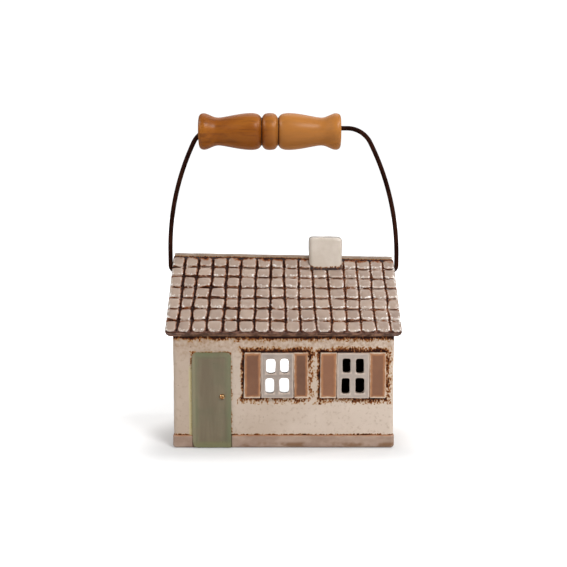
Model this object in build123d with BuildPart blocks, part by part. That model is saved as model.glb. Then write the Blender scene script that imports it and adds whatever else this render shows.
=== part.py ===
"""Slab-built ceramic tealight house with a tiled roof, a wire bail and a turned wooden grip.

Millimetres, +Z up. The origin is on the ground under the middle of the house.
The front wall, with its door and two windows, faces -Y. The ridge and the bail's pivot run along X.
"""

import os
from math import asin, atan2, cos, degrees, radians, sin, sqrt, tan

from build123d import *

# Overrun of every through cut
overrun = 2.0
# Room left in a joint that is luted with slip
slip_gap = 0.15
# Most of a slab's thickness that its rounded edge may take
edge_limit_share = 0.8

# Walls and floor
wall_width = 129.2
wall_depth = 80.0
wall_thickness = 4.5
eaves_height = 67.0
floor_thickness = 5.0
floor_edge_chamfer = 0.6
corner_radius = 2.0

# Back opening that takes the tealight: straight jambs under a half-round head
opening_width = 48.0
opening_head_drop = 14.0

# Roof slabs, measured square to the slope
roof_pitch = 43.1
roof_base_thickness = 3.8
tile_relief = 1.2
tile_dip = 0.3
tile_nose_bevel = 0.7
tile_columns = 16
# Courses from the ridge down, as shares of the slope
tile_course_shares = (0.114, 0.136, 0.147, 0.146, 0.144, 0.155, 0.158)
tile_groove_width = 1.9
tile_groove_depth = 1.0
eaves_overhang = 4.4
gable_overhang = 3.5
verge_chamfer = 1.6

# Clay roll along the ridge
ridge_roll_half_width = 2.2
ridge_roll_edge = 0.7
ridge_roll_rise = 1.0
ridge_roll_gap = 0.35
ridge_roll_setback = 0.9

# Chimney block astride the ridge, with a flue that vents the house
chimney_width = 19.8
chimney_depth = 17.4
chimney_rise = 11.3
chimney_x = 25.85
chimney_corner_radius = 2.8
chimney_top_bevel = 1.3
flue_diameter = 7.0

# Door slab and its knob
door_width = 23.4
door_head_drop = 10.2
door_thickness = 1.6
door_corner_radius = 2.4
door_edge_bevel = 0.8
knob_diameter = 3.2
knob_projection = 1.2
knob_bevel = 0.7
knob_inset = 5.2
knob_height = 30.9

# Window frames, their panes and the shutters beside them
window_width = 18.8
window_height = 26.6
window_head_drop = 10.3
window_thickness = 2.3
window_edge_bevel = 0.7
left_pane_width = 5.5
right_pane_width = 4.6
pane_height = 8.5
pane_corner_radius = 1.3
pane_spacing_x = 8.1
pane_spacing_z = 11.6
shutter_overhang = 0.1
shutter_thickness = 1.9
shutter_edge_bevel = 0.6
left_window_left_shutter_width = 9.8
left_window_right_shutter_width = 8.4
right_window_left_shutter_width = 9.6
right_window_right_shutter_width = 9.4
# The front's bare wall, shared out: left of the door, door to window, right end.
# What is left lies between the two windows.
front_gap_shares = (0.35, 0.251, 0.17)

# Plinth strips round the foot of the walls
plinth_height = 7.6
plinth_thickness = 1.2
plinth_side_thickness = 0.4
plinth_bevel_share = 0.4
trim_ground_gap = 0.4

# Bail: round wire bent in one plane, its feet turned into the gables
wire_diameter = 2.8
wire_rise = 87.6
wire_shoulder_radius = 15.7
wire_shoulder_entry = 4.0
wire_ankle_length = 7.3
wire_foot_radius = 3.6
wire_roof_gap = 0.5
wire_pin_reach = 4.0
pivot_drop = 4.0
pivot_clearance = 0.2

# Turned grip, hanging loose on the wire
grip_length = 88.0
grip_radius = 11.4
grip_bore_diameter = 7.2
grip_wire_gap = 0.2
grip_mouth_gap = 0.5
grip_bead_half_width = 4.7
grip_bead_crown_half_width = 3.0
grip_bead_crown_drop = 0.4
grip_groove_depth = 2.9
grip_groove_width = 0.9
# Barrel: share of the way from the groove to the end, share of the grip's radius
grip_shoulder_shares = (0.036, 0.94)
grip_swell_start_shares = (0.115, 1.0)
grip_swell_end_shares = (0.19, 1.0)
grip_neck_start_shares = (0.58, 0.78)
grip_neck_middle_shares = (0.7, 0.741)
grip_neck_end_shares = (0.88, 0.982)
grip_lip_start_shares = (0.95, 0.982)
grip_lip_end_shares = (1.0, 0.825)
# The grip has slid to the left: how far it laps the shoulder, as a share of the shoulder's radius
grip_lap_share = 0.764

# Tealight
cup_diameter = 38.0
cup_height = 14.0
cup_wall = 0.4
cup_draft = 0.5
cup_rim_width = 0.7
wax_depth = 11.0
wax_gap = 0.05
wick_diameter = 1.5
wick_height = 6.0
wick_gap = 0.05
sustainer_diameter = 13.0
sustainer_thickness = 0.4
sustainer_neck_diameter = 3.2
sustainer_neck_height = 4.0
tealight_floor_gap = 0.1

# Worked-out sizes of the house
half_width = wall_width / 2
half_depth = wall_depth / 2
inner_half_depth = half_depth - wall_thickness
slope = radians(roof_pitch)
apex_height = eaves_height + half_depth * tan(slope)
inner_eaves_height = apex_height - inner_half_depth * tan(slope)
roof_length = wall_width + 2 * gable_overhang
roof_thickness = roof_base_thickness + tile_relief
roof_run = (half_depth + eaves_overhang - roof_thickness * sin(slope)) / cos(slope)
base_apex_height = apex_height + roof_base_thickness / cos(slope)
ridge_height = base_apex_height + ridge_roll_rise
ridge_roll_foot = (ridge_roll_half_width - roof_base_thickness * sin(slope)) / cos(slope)
first_course = ridge_roll_foot + ridge_roll_gap
tiled_run = roof_run - first_course
tile_width = roof_length / tile_columns
pivot_height = apex_height - pivot_drop
wire_radius = wire_diameter / 2
door_height = eaves_height - door_head_drop - trim_ground_gap
window_middle = eaves_height - window_head_drop - window_height / 2
opening_height = eaves_height - opening_head_drop - floor_thickness

# The slope's own plane: x runs down the front slope from the inner apex, y stands square to it
front_slope = Plane(
    origin=(0, 0, apex_height),
    x_dir=(0, -cos(slope), -sin(slope)),
    z_dir=(-1, 0, 0),
)
# The walls' outer faces, each with its x along the wall and its y up
front_face = Plane.XZ.offset(half_depth)
back_face = Plane(origin=(0, half_depth, 0), x_dir=(-1, 0, 0), z_dir=(0, 1, 0))
left_face = Plane(origin=(-half_width, 0, 0), x_dir=(0, -1, 0), z_dir=(-1, 0, 0))
right_face = Plane(origin=(half_width, 0, 0), x_dir=(0, 1, 0), z_dir=(1, 0, 0))

# Along the front: the door, then each window between its shutters
shutter_widths = (
    left_window_left_shutter_width,
    left_window_right_shutter_width,
    right_window_left_shutter_width,
    right_window_right_shutter_width,
)
bare_front = wall_width - door_width - 2 * window_width - sum(shutter_widths) - len(shutter_widths) * slip_gap
door_margin, door_to_window, right_margin = (share * bare_front for share in front_gap_shares)
door_left = -half_width + door_margin
door_right = door_left + door_width
door_x = (door_left + door_right) / 2
left_window_left = door_right + door_to_window + left_window_left_shutter_width + slip_gap
left_window_x = left_window_left + window_width / 2
right_window_right = half_width - right_margin - right_window_right_shutter_width - slip_gap
right_window_x = right_window_right - window_width / 2


def save(part, name):
    """Labels a finished piece and writes its STEP file."""
    part.label = name
    export_step(part, f"parts/{name}.step")


os.makedirs("parts", exist_ok=True)

# Floor
with BuildPart() as floor_slab:
    with BuildSketch():
        RectangleRounded(wall_width, wall_depth, corner_radius)
    extrude(amount=floor_thickness)
    chamfer(floor_slab.faces().sort_by(Axis.Z)[0].edges(), floor_edge_chamfer)
save(floor_slab.part, "floor_slab")


def wall_section(side):
    """Sketches a long wall's section: it stands on the floor and its top follows the roof."""
    Polygon(
        (side * half_depth, floor_thickness),
        (side * inner_half_depth, floor_thickness),
        (side * inner_half_depth, inner_eaves_height),
        (side * half_depth, eaves_height),
        align=None,
    )


def panes(window_x, pane_width):
    """Sketches one window's four panes on the front face."""
    with Locations((window_x, window_middle)):
        with GridLocations(pane_spacing_x, pane_spacing_z, 2, 2):
            RectangleRounded(pane_width, pane_height, pane_corner_radius)


# Front wall, pierced by the panes of both windows
with BuildPart() as front_wall:
    with BuildSketch(Plane.YZ):
        wall_section(-1)
    extrude(amount=half_width, both=True)
    fillet(front_wall.edges().filter_by(Axis.Z).group_by(Axis.Y)[0], corner_radius)
    with BuildSketch(front_face):
        panes(left_window_x, left_pane_width)
        panes(right_window_x, right_pane_width)
    extrude(amount=-wall_thickness - overrun, mode=Mode.SUBTRACT)
save(front_wall.part, "front_wall")

# Back wall, cut through by the arched opening
with BuildPart() as back_wall:
    with BuildSketch(Plane.YZ):
        wall_section(1)
    extrude(amount=half_width, both=True)
    fillet(back_wall.edges().filter_by(Axis.Z).group_by(Axis.Y)[-1], corner_radius)
    with BuildSketch(back_face):
        with Locations((0, floor_thickness + opening_height - opening_width / 2)):
            Circle(opening_width / 2)
            Rectangle(opening_width, opening_height, align=(Align.CENTER, Align.MAX))
    extrude(amount=-wall_thickness - overrun, mode=Mode.SUBTRACT)
save(back_wall.part, "back_wall")

# Gables between the long walls, each with a hole for a foot of the bail
for face, name in ((left_face, "left_gable"), (right_face, "right_gable")):
    with BuildPart() as gable:
        with BuildSketch(face):
            Polygon(
                (-inner_half_depth, floor_thickness),
                (inner_half_depth, floor_thickness),
                (inner_half_depth, inner_eaves_height),
                (0, apex_height),
                (-inner_half_depth, inner_eaves_height),
                align=None,
            )
            with Locations((0, pivot_height)):
                Circle(wire_radius + pivot_clearance, mode=Mode.SUBTRACT)
        extrude(amount=-wall_thickness)
    save(gable.part, name)


def seat_outline(half_span, top):
    """Sketches, across the ridge, what sits on the bare slabs there: notched below, flat on top."""
    foot = base_apex_height - half_span * tan(slope)
    Polygon(
        (-half_span, foot),
        (0, base_apex_height),
        (half_span, foot),
        (half_span, top),
        (-half_span, top),
        align=None,
    )


# Tiled slab of the front slope: lapped courses with bevelled noses, parted into columns of tiles
nose_bevel = min(tile_nose_bevel, (tile_relief - tile_dip) * edge_limit_share)
nose_foot = roof_thickness - nose_bevel
tile_head = roof_base_thickness + tile_dip
with BuildPart() as front_roof:
    with BuildSketch(front_slope):
        with BuildLine():
            Polyline((0, 0), (roof_run, 0), (roof_run, nose_foot))
            course_end = roof_run
            for share in reversed(tile_course_shares):
                course_start = course_end - share * tiled_run
                Polyline(
                    (course_end, nose_foot),
                    (course_end - nose_bevel, roof_thickness),
                    (course_start, tile_head),
                )
                course_end = course_start
                if course_start > first_course + overrun:
                    Line((course_start, tile_head), (course_start, nose_foot))
            Polyline(
                (course_start, tile_head),
                (course_start, roof_base_thickness),
                (-roof_base_thickness * tan(slope), roof_base_thickness),
                (0, 0),
            )
        make_face()
    extrude(amount=roof_length / 2, both=True)
    slab_faces = front_roof.faces().filter_by(Axis(front_slope.origin, front_slope.y_dir))
    underside = slab_faces.sort_by(SortBy.AREA)[-1]
    chamfer(underside.edges().filter_by(Axis.X, reverse=True), verge_chamfer)
    groove_start = front_slope.from_local_coords((first_course, roof_thickness, 0))
    with BuildSketch(Plane(origin=groove_start, x_dir=(1, 0, 0), z_dir=front_slope.x_dir)):
        with GridLocations(tile_width, 0, tile_columns - 1, 1):
            Polygon(
                (-tile_groove_width / 2, 0),
                (0, -tile_groove_depth),
                (tile_groove_width / 2, 0),
                align=None,
            )
    extrude(amount=roof_run + overrun, mode=Mode.SUBTRACT)
    with BuildSketch(Plane.YZ.offset(chimney_x)):
        seat_outline(chimney_depth / 2 + slip_gap, ridge_height + chimney_rise)
    extrude(amount=chimney_width / 2 + slip_gap, both=True, mode=Mode.SUBTRACT)
    with BuildSketch(Plane.XY):
        with Locations((chimney_x, 0)):
            Circle(flue_diameter / 2)
    extrude(amount=ridge_height, mode=Mode.SUBTRACT)
save(front_roof.part, "front_roof")

# The back slope is the same slab turned to face the other way
with BuildPart() as back_roof:
    mirror(front_roof.part, about=Plane.XZ)
save(back_roof.part, "back_roof")

# Ridge roll, in two lengths that stop at the chimney
roll_ends = {
    "ridge_roll_left": (-roof_length / 2 + ridge_roll_setback, chimney_x - chimney_width / 2 - slip_gap),
    "ridge_roll_right": (chimney_x + chimney_width / 2 + slip_gap, roof_length / 2 - ridge_roll_setback),
}
for name, (roll_start, roll_end) in roll_ends.items():
    foot_height = base_apex_height - ridge_roll_half_width * tan(slope)
    edge_y = ridge_roll_half_width + ridge_roll_edge * sin(slope)
    edge_height = foot_height + ridge_roll_edge * cos(slope)
    with BuildPart() as ridge_roll:
        with BuildSketch(Plane.YZ.offset(roll_start)):
            with BuildLine():
                Polyline(
                    (-edge_y, edge_height),
                    (-ridge_roll_half_width, foot_height),
                    (0, base_apex_height),
                    (ridge_roll_half_width, foot_height),
                    (edge_y, edge_height),
                )
                ThreePointArc((edge_y, edge_height), (0, ridge_height), (-edge_y, edge_height))
            make_face()
        extrude(amount=roll_end - roll_start)
    save(ridge_roll.part, name)

# Chimney, notched over the ridge
with BuildPart() as chimney:
    with BuildSketch(Plane.YZ.offset(chimney_x)):
        seat_outline(chimney_depth / 2, ridge_height + chimney_rise)
    extrude(amount=chimney_width / 2, both=True)
    fillet(chimney.edges().filter_by(Axis.Z), chimney_corner_radius)
    chamfer(chimney.faces().sort_by(Axis.Z)[-1].edges(), chimney_top_bevel)
    with Locations((chimney_x, 0, ridge_height + chimney_rise)):
        Hole(flue_diameter / 2)
save(chimney.part, "chimney")


def soften_front(builder, thickness, bevel):
    """Bevels the outer front edges of a slab laid on the front wall."""
    front = builder.faces().filter_by(Axis.Y).sort_by(Axis.Y)[0]
    chamfer(front.outer_wire().edges(), min(bevel, thickness * edge_limit_share))


# Door: a slab laid on the wall, down to the ground
with BuildPart() as door:
    with BuildSketch(front_face):
        with Locations((door_x, trim_ground_gap)):
            Rectangle(door_width, door_height, align=(Align.CENTER, Align.MIN))
        fillet(vertices().group_by(Axis.Y)[-1], door_corner_radius)
    extrude(amount=door_thickness)
    soften_front(door, door_thickness, door_edge_bevel)
save(door.part, "door")

# Knob: a small bevelled button on the door
with BuildPart() as door_knob:
    with BuildSketch(front_face.offset(door_thickness)):
        with Locations((door_right - knob_inset, knob_height)):
            Circle(knob_diameter / 2)
    extrude(amount=knob_projection)
    soften_front(door_knob, knob_projection, knob_bevel)
save(door_knob.part, "door_knob")

# Window frames, with a shutter laid against each side
window_table = {
    "left_window": (
        left_window_x,
        left_pane_width,
        left_window_left_shutter_width,
        left_window_right_shutter_width,
    ),
    "right_window": (
        right_window_x,
        right_pane_width,
        right_window_left_shutter_width,
        right_window_right_shutter_width,
    ),
}
for name, (window_x, pane_width, left_width, right_width) in window_table.items():
    with BuildPart() as frame:
        with BuildSketch(front_face):
            with Locations((window_x, window_middle)):
                Rectangle(window_width, window_height)
        extrude(amount=window_thickness)
        soften_front(frame, window_thickness, window_edge_bevel)
        with BuildSketch(front_face):
            panes(window_x, pane_width)
        extrude(amount=window_thickness + overrun, mode=Mode.SUBTRACT)
    save(frame.part, f"{name}_frame")
    for side, side_name, shutter_width in ((-1, "left", left_width), (1, "right", right_width)):
        shutter_x = window_x + side * (window_width / 2 + slip_gap + shutter_width / 2)
        with BuildPart() as shutter:
            with BuildSketch(front_face):
                with Locations((shutter_x, window_middle)):
                    Rectangle(shutter_width, window_height + 2 * shutter_overhang)
            extrude(amount=shutter_thickness)
            soften_front(shutter, shutter_thickness, shutter_edge_bevel)
        save(shutter.part, f"{name}_{side_name}_shutter")

# Plinth strips: each is (start, end) along its wall, on the plane of that wall's outer face
jamb = opening_width / 2
corner_end = half_width + plinth_side_thickness
plinth_table = {
    "plinth_front_left": (front_face, -corner_end, door_left - slip_gap, plinth_thickness),
    "plinth_front_right": (front_face, door_right + slip_gap, corner_end, plinth_thickness),
    "plinth_back_left": (back_face, jamb, corner_end, plinth_thickness),
    "plinth_back_right": (back_face, -corner_end, -jamb, plinth_thickness),
    "plinth_left_side": (left_face, -half_depth, half_depth, plinth_side_thickness),
    "plinth_right_side": (right_face, -half_depth, half_depth, plinth_side_thickness),
}
for name, (face, start, end, thickness) in plinth_table.items():
    with BuildPart() as plinth:
        with BuildSketch(face):
            with Locations(((start + end) / 2, trim_ground_gap)):
                Rectangle(end - start, plinth_height - trim_ground_gap, align=(Align.CENTER, Align.MIN))
        extrude(amount=thickness)
        outer_face = plinth.faces().sort_by(Axis(face.origin, face.z_dir))[-1]
        chamfer(outer_face.edges().sort_by(Axis.Z)[-1], plinth_bevel_share * thickness)
    save(plinth.part, name)

# Bail wire: the top, then on each side a shoulder, a long leg, a foot and a pin in the gable.
# The leg is the one arc that leaves the shoulder smoothly and reaches the ankle upright.
wire_top_height = pivot_height + wire_rise
wire_top_half_length = grip_length / 2 - wire_shoulder_entry
leg_x = roof_length / 2 + wire_roof_gap + wire_radius
ankle_top = pivot_height + wire_foot_radius + wire_ankle_length
leg_span = leg_x - wire_top_half_length
leg_fall = wire_top_height - wire_shoulder_radius - ankle_top
leg_radius = (leg_span**2 + leg_fall**2 - wire_shoulder_radius**2) / (2 * (leg_span - wire_shoulder_radius))
shoulder_turn = degrees(atan2(leg_radius - leg_span, leg_fall))
pin_end_x = half_width - wall_thickness - wire_pin_reach
with BuildPart() as bail_wire:
    with BuildLine(Plane.XZ) as right_half:
        top_run = Line((0, wire_top_height), (wire_top_half_length, wire_top_height))
        shoulder = JernArc(top_run @ 1, top_run % 1, wire_shoulder_radius, -shoulder_turn)
        leg = JernArc(shoulder @ 1, shoulder % 1, leg_radius, shoulder_turn - 90)
        ankle = Line(leg @ 1, (leg_x, pivot_height + wire_foot_radius))
        foot = JernArc(ankle @ 1, ankle % 1, wire_foot_radius, -90)
        Line(foot @ 1, (pin_end_x, pivot_height))
    with BuildSketch(Plane.YZ):
        with Locations((0, wire_top_height)):
            Circle(wire_radius)
    sweep(path=right_half.wires()[0])
    mirror(about=Plane.YZ)
save(bail_wire.part, "bail_wire")

# Grip: turned outline, drilled through, its mouths opened until the left shoulder clears one of them
bore_radius = grip_bore_diameter / 2
grip_half = grip_length / 2
grip_lap = grip_lap_share * wire_shoulder_radius
grip_x = grip_half - wire_top_half_length - grip_lap
grip_height = wire_top_height + wire_radius + grip_wire_gap - bore_radius
lap_angle = asin(grip_lap_share)
shoulder_drop = wire_shoulder_radius * (1 - cos(lap_angle))
mouth_radius = grip_height - wire_top_height + shoulder_drop + wire_radius / cos(lap_angle) + grip_mouth_gap
groove_radius = grip_radius - grip_groove_depth
barrel_start = grip_bead_half_width + grip_groove_width
grip_plane = Plane(origin=(grip_x, 0, grip_height), x_dir=(1, 0, 0), z_dir=(0, -1, 0))


def on_barrel(shares):
    """Point of the barrel's outline, from its share of the way along and of the grip's radius."""
    along, around = shares
    return (barrel_start + along * (grip_half - barrel_start), around * grip_radius)


with BuildPart() as wooden_grip:
    with BuildSketch(grip_plane):
        with BuildLine():
            Polyline(
                (0, grip_radius),
                (grip_bead_crown_half_width, grip_radius - grip_bead_crown_drop),
                (grip_bead_half_width, groove_radius),
                (barrel_start, groove_radius),
                on_barrel(grip_shoulder_shares),
                on_barrel(grip_swell_start_shares),
                on_barrel(grip_swell_end_shares),
                on_barrel(grip_neck_start_shares),
            )
            ThreePointArc(
                on_barrel(grip_neck_start_shares),
                on_barrel(grip_neck_middle_shares),
                on_barrel(grip_neck_end_shares),
            )
            Polyline(
                on_barrel(grip_neck_end_shares),
                on_barrel(grip_lip_start_shares),
                on_barrel(grip_lip_end_shares),
                (grip_half, mouth_radius),
                (grip_half - mouth_radius + bore_radius, bore_radius),
                (0, bore_radius),
                (0, grip_radius),
            )
        make_face()
        mirror(about=Plane.YZ)
    revolve(axis=Axis(grip_plane.origin, (1, 0, 0)))
save(wooden_grip.part, "wooden_grip")

# Tealight, set down in the middle of the floor
tealight_base = floor_thickness + tealight_floor_gap
cup_radius = cup_diameter / 2
cup_foot_radius = cup_radius - cup_rim_width - cup_draft
cup_side_radius = cup_radius - cup_rim_width
cup_top = tealight_base + cup_height
with BuildPart() as tealight_cup:
    with BuildSketch(Plane.XZ):
        with BuildLine():
            Polyline(
                (0, tealight_base),
                (cup_foot_radius, tealight_base),
                (cup_side_radius, cup_top - cup_wall),
                (cup_radius, cup_top - cup_wall),
                (cup_radius, cup_top),
                (cup_side_radius - cup_wall, cup_top),
                (cup_foot_radius - cup_wall, tealight_base + cup_wall),
                (0, tealight_base + cup_wall),
                close=True,
            )
        make_face()
    revolve(axis=Axis.Z)
save(tealight_cup.part, "tealight_cup")

wax_floor = tealight_base + cup_wall
wax_top = wax_floor + wax_depth
wax_foot_radius = cup_foot_radius - cup_wall - wax_gap
wax_top_radius = wax_foot_radius + cup_draft * wax_depth / cup_height
neck_radius = sustainer_neck_diameter / 2
wick_radius = wick_diameter / 2

# Wick tab: a disc with a neck that grips the wick
with BuildPart() as wick_sustainer:
    with BuildSketch(Plane.XY.offset(wax_floor)):
        Circle(sustainer_diameter / 2)
    extrude(amount=sustainer_thickness)
    with BuildSketch(Plane.XY.offset(wax_floor)):
        Circle(neck_radius)
    extrude(amount=sustainer_neck_height)
    with BuildSketch(Plane.XY.offset(wax_floor + sustainer_thickness)):
        Circle(wick_radius + wick_gap)
    extrude(amount=sustainer_neck_height, mode=Mode.SUBTRACT)
save(wick_sustainer.part, "wick_sustainer")

with BuildPart() as wick:
    with BuildSketch(Plane.XY.offset(wax_floor + sustainer_thickness)):
        Circle(wick_radius)
    extrude(amount=wax_top + wick_height - wax_floor - sustainer_thickness)
save(wick.part, "wick")

# Wax, cast round the wick and its tab
with BuildPart() as tealight_wax:
    with BuildSketch(Plane.XZ):
        with BuildLine():
            Polyline(
                (sustainer_diameter / 2 + wax_gap, wax_floor),
                (wax_foot_radius, wax_floor),
                (wax_top_radius, wax_top),
                (wick_radius + wick_gap, wax_top),
                (wick_radius + wick_gap, wax_floor + sustainer_neck_height + wax_gap),
                (neck_radius + wax_gap, wax_floor + sustainer_neck_height + wax_gap),
                (neck_radius + wax_gap, wax_floor + sustainer_thickness + wax_gap),
                (sustainer_diameter / 2 + wax_gap, wax_floor + sustainer_thickness + wax_gap),
                close=True,
            )
        make_face()
    revolve(axis=Axis.Z)
save(tealight_wax.part, "tealight_wax")
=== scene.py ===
"""Looks of the slab-built tealight house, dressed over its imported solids.

The pottery is cut from slabs, softened and glazed; the roof is pressed tile by tile; the grip is turned;
the wire is bent. Everything is in metres, in the frame of the solids.
"""

import random
from math import atan2, cos, pi, radians, sin, sqrt, tan

import bpy
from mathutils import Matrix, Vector, noise


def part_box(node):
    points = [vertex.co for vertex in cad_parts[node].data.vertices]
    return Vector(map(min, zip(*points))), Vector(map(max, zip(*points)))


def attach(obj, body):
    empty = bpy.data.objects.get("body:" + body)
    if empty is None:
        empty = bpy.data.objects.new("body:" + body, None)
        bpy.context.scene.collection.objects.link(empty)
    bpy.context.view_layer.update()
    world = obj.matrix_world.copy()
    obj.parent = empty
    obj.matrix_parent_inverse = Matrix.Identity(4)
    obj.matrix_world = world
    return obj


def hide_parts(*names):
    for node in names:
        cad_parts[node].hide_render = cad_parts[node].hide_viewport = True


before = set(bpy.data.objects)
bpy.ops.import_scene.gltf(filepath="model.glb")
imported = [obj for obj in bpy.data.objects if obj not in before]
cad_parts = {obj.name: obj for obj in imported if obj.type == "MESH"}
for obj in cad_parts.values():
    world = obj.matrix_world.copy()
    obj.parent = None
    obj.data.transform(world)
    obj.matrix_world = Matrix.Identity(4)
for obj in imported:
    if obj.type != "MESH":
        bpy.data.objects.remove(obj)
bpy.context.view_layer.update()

MM = 0.001
ROOF_PITCH = radians(43.1)
ROOF_BASE = 3.8 * MM
WALL_THICKNESS = 4.5 * MM
EMBED = 1.0 * MM
UPRIGHT_ROUNDING = 2.0 * MM
WIRE_RADIUS = 1.4 * MM
# Arched opening in the back wall: half its width, and the height at which the arch springs
ARCH_HALF_WIDTH = 24.0 * MM
ARCH_SPRING = 29.0 * MM
# The door was cut this much narrower at its left than its bed
DOOR_INSET = 0.9 * MM
# The hand-built roof falls to the right by this share of its length at the ridge
LEAN_SHARE = 0.018
# The bail stands this far to the left at its top
BAIL_LEAN = 1.1 * MM

# Columns of tiles from left to right: widths at the ridge and at the eave, in parts of the roof's length
RIDGE_COLUMN_PARTS = (77, 80, 85, 85, 85, 90, 82, 78, 88, 82, 90, 95, 75, 82, 80, 68)
EAVE_COLUMN_PARTS = (70, 85, 93, 97, 93, 97, 93, 94, 88, 95, 90, 90, 90, 85, 85, 70)
COLUMNS = 16
COURSES = 7
# Ends of the courses from the ridge down, as shares of the tiled slope
COURSE_END_SHARES = (0.0, 0.114, 0.25, 0.397, 0.543, 0.687, 0.842, 1.0)
TILED_RUN = 56.3 * MM
TILE_SPACING = 8.2 * MM
GROOVE_HALF_WIDTH = 0.6 * MM
TILE_ROUNDING = 1.5 * MM
TILE_CROWN = 0.6 * MM
TILE_HEAD_RISE = 0.15 * MM
TILE_NOSE_RISE = 0.9 * MM
NOSE_LAP = 0.5 * MM
EAVE_DROP = 0.3 * MM
VERGE_DROP = 0.8 * MM
GROOVE_DROP = 0.5 * MM
EAVE_FLARE = 0.5 * MM
CORNER_RADIUS = 3.0 * MM
CORNER_LENGTH = 9.0 * MM
RAGGED = 0.28 * MM
# How far the hand strays: lines between columns and courses, then each tile's nose, height and roll
COLUMN_STRAY = 0.45 * MM
COURSE_STRAY = 0.4 * MM
NOSE_SLIP = 0.45 * MM
NOSE_SWING = 0.06
LOWEST_LIFT = -0.15 * MM
HIGHEST_LIFT = 0.12 * MM
TILE_ROLL = 0.035

# Panes of each window as cut by hand, in millimetres: left, right, bottom, top
LEFT_PANE_ROUNDING = 1.6 * MM
RIGHT_PANE_ROUNDING = 1.0 * MM
LEFT_PANES = (
    (-10.1, -4.7, 44.6, 53.2),
    (-1.8, 2.9, 44.9, 53.4),
    (-10.6, -5.5, 32.9, 41.9),
    (-2.4, 3.2, 33.1, 42.0),
)
RIGHT_PANES = (
    (34.3, 38.9, 45.1, 53.5),
    (42.1, 46.7, 44.8, 53.4),
    (33.8, 38.5, 32.7, 41.9),
    (41.8, 47.0, 32.9, 41.9),
)

# Turned grip, in millimetres: distance from its middle, radius
GRIP_STATIONS = (
    (0.0, 11.36),
    (1.6, 11.28),
    (2.9, 10.95),
    (3.9, 10.2),
    (4.5, 9.2),
    (4.85, 8.45),
    (5.35, 8.45),
    (5.75, 9.3),
    (6.6, 10.25),
    (8.0, 10.95),
    (10.0, 11.3),
    (12.5, 11.36),
    (15.5, 11.15),
    (20.0, 10.55),
    (25.0, 9.6),
    (29.5, 8.75),
    (32.4, 8.45),
    (34.8, 8.95),
    (37.3, 10.15),
    (39.4, 11.0),
    (41.0, 11.3),
    (42.4, 11.05),
    (43.4, 10.4),
    (43.9, 9.5),
    (44.0, 8.6),
)
# Wear and sanding: the grip as it is, in shares of its stations, and how far it hangs to the left
GRIP_LENGTH_SHARE = 0.981
GRIP_RADIUS_SHARE = 0.984
GRIP_SHIFT = 0.33 * MM


def clear():
    """Object mode, with nothing picked."""
    if bpy.context.mode != "OBJECT":
        bpy.ops.object.mode_set(mode="OBJECT")
    bpy.ops.object.select_all(action="DESELECT")


def take(piece):
    """Make this the only piece that operators act on."""
    clear()
    piece.select_set(True)
    bpy.context.view_layer.objects.active = piece


def named(name):
    """Name the piece that was just added."""
    piece = bpy.context.object
    piece.name = name
    piece.data.name = name
    return piece


def settle(piece):
    """Put the piece's place, turn and size into its mesh."""
    take(piece)
    bpy.ops.object.transform_apply(location=True, rotation=True, scale=True)


def block(name, low, high):
    """Block of clay between two corners."""
    clear()
    bpy.ops.mesh.primitive_cube_add(size=1)
    piece = named(name)
    piece.location = (Vector(low) + Vector(high)) / 2
    piece.scale = Vector(high) - Vector(low)
    settle(piece)
    return piece


def edit(piece, kind):
    """Edit mode with nothing picked, ready to pick points, edges or faces."""
    take(piece)
    bpy.ops.object.mode_set(mode="EDIT")
    bpy.ops.mesh.select_mode(type=kind)
    bpy.ops.mesh.select_all(action="DESELECT")


def pick_faces(piece, test):
    """Edit mode with those faces picked whose middle and normal pass the test."""
    edit(piece, "FACE")
    bpy.ops.object.mode_set(mode="OBJECT")
    for face in piece.data.polygons:
        face.select = test(face.center, face.normal)
    bpy.ops.object.mode_set(mode="EDIT")


def pick_edges(piece, test):
    """Edit mode with those edges picked whose middle and direction pass the test."""
    edit(piece, "EDGE")
    bpy.ops.object.mode_set(mode="OBJECT")
    points = piece.data.vertices
    for edge in piece.data.edges:
        start, end = (points[index].co for index in edge.vertices)
        edge.select = test((start + end) / 2, (end - start).normalized())
    bpy.ops.object.mode_set(mode="EDIT")


def apply(piece, kind, **settings):
    """Add a modifier to the piece and apply it."""
    take(piece)
    step = piece.modifiers.new(kind.title(), kind)
    for key, value in settings.items():
        setattr(step, key, value)
    bpy.ops.object.modifier_apply(modifier=step.name)


def cut(piece, cutter):
    """Cut one piece out of another."""
    apply(piece, "BOOLEAN", operation="DIFFERENCE", solver="EXACT", object=cutter)
    bpy.data.objects.remove(cutter, do_unlink=True)


def lumpy(piece, height, size):
    """Press soft lumps of this height and size into the piece."""
    lumps = bpy.data.textures.new(piece.name + "_lumps", "CLOUDS")
    lumps.noise_scale = size
    apply(piece, "DISPLACE", texture=lumps, strength=height, mid_level=0.5)


def soften(piece, voxel, rounds, lump_height=0.0, lump_size=9 * MM):
    """Turn crisp slabs into soft clay: one skin, rounded edges, uneven faces."""
    apply(piece, "REMESH", mode="VOXEL", voxel_size=voxel)
    apply(piece, "SMOOTH", factor=0.5, iterations=rounds)
    if lump_height:
        lumpy(piece, lump_height, lump_size)
    bpy.ops.object.shade_smooth()


def round_edges(piece, offset, segments, test):
    """Bevel the edges that pass the test."""
    pick_edges(piece, test)
    bpy.ops.mesh.bevel(offset=offset, segments=segments, affect="EDGES")
    bpy.ops.object.mode_set(mode="OBJECT")


def along_y(middle, direction):
    """Edges that run from front to back."""
    return abs(direction.y) > 0.9


def upright(middle, direction):
    """Edges that run up."""
    return abs(direction.z) > 0.9


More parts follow.
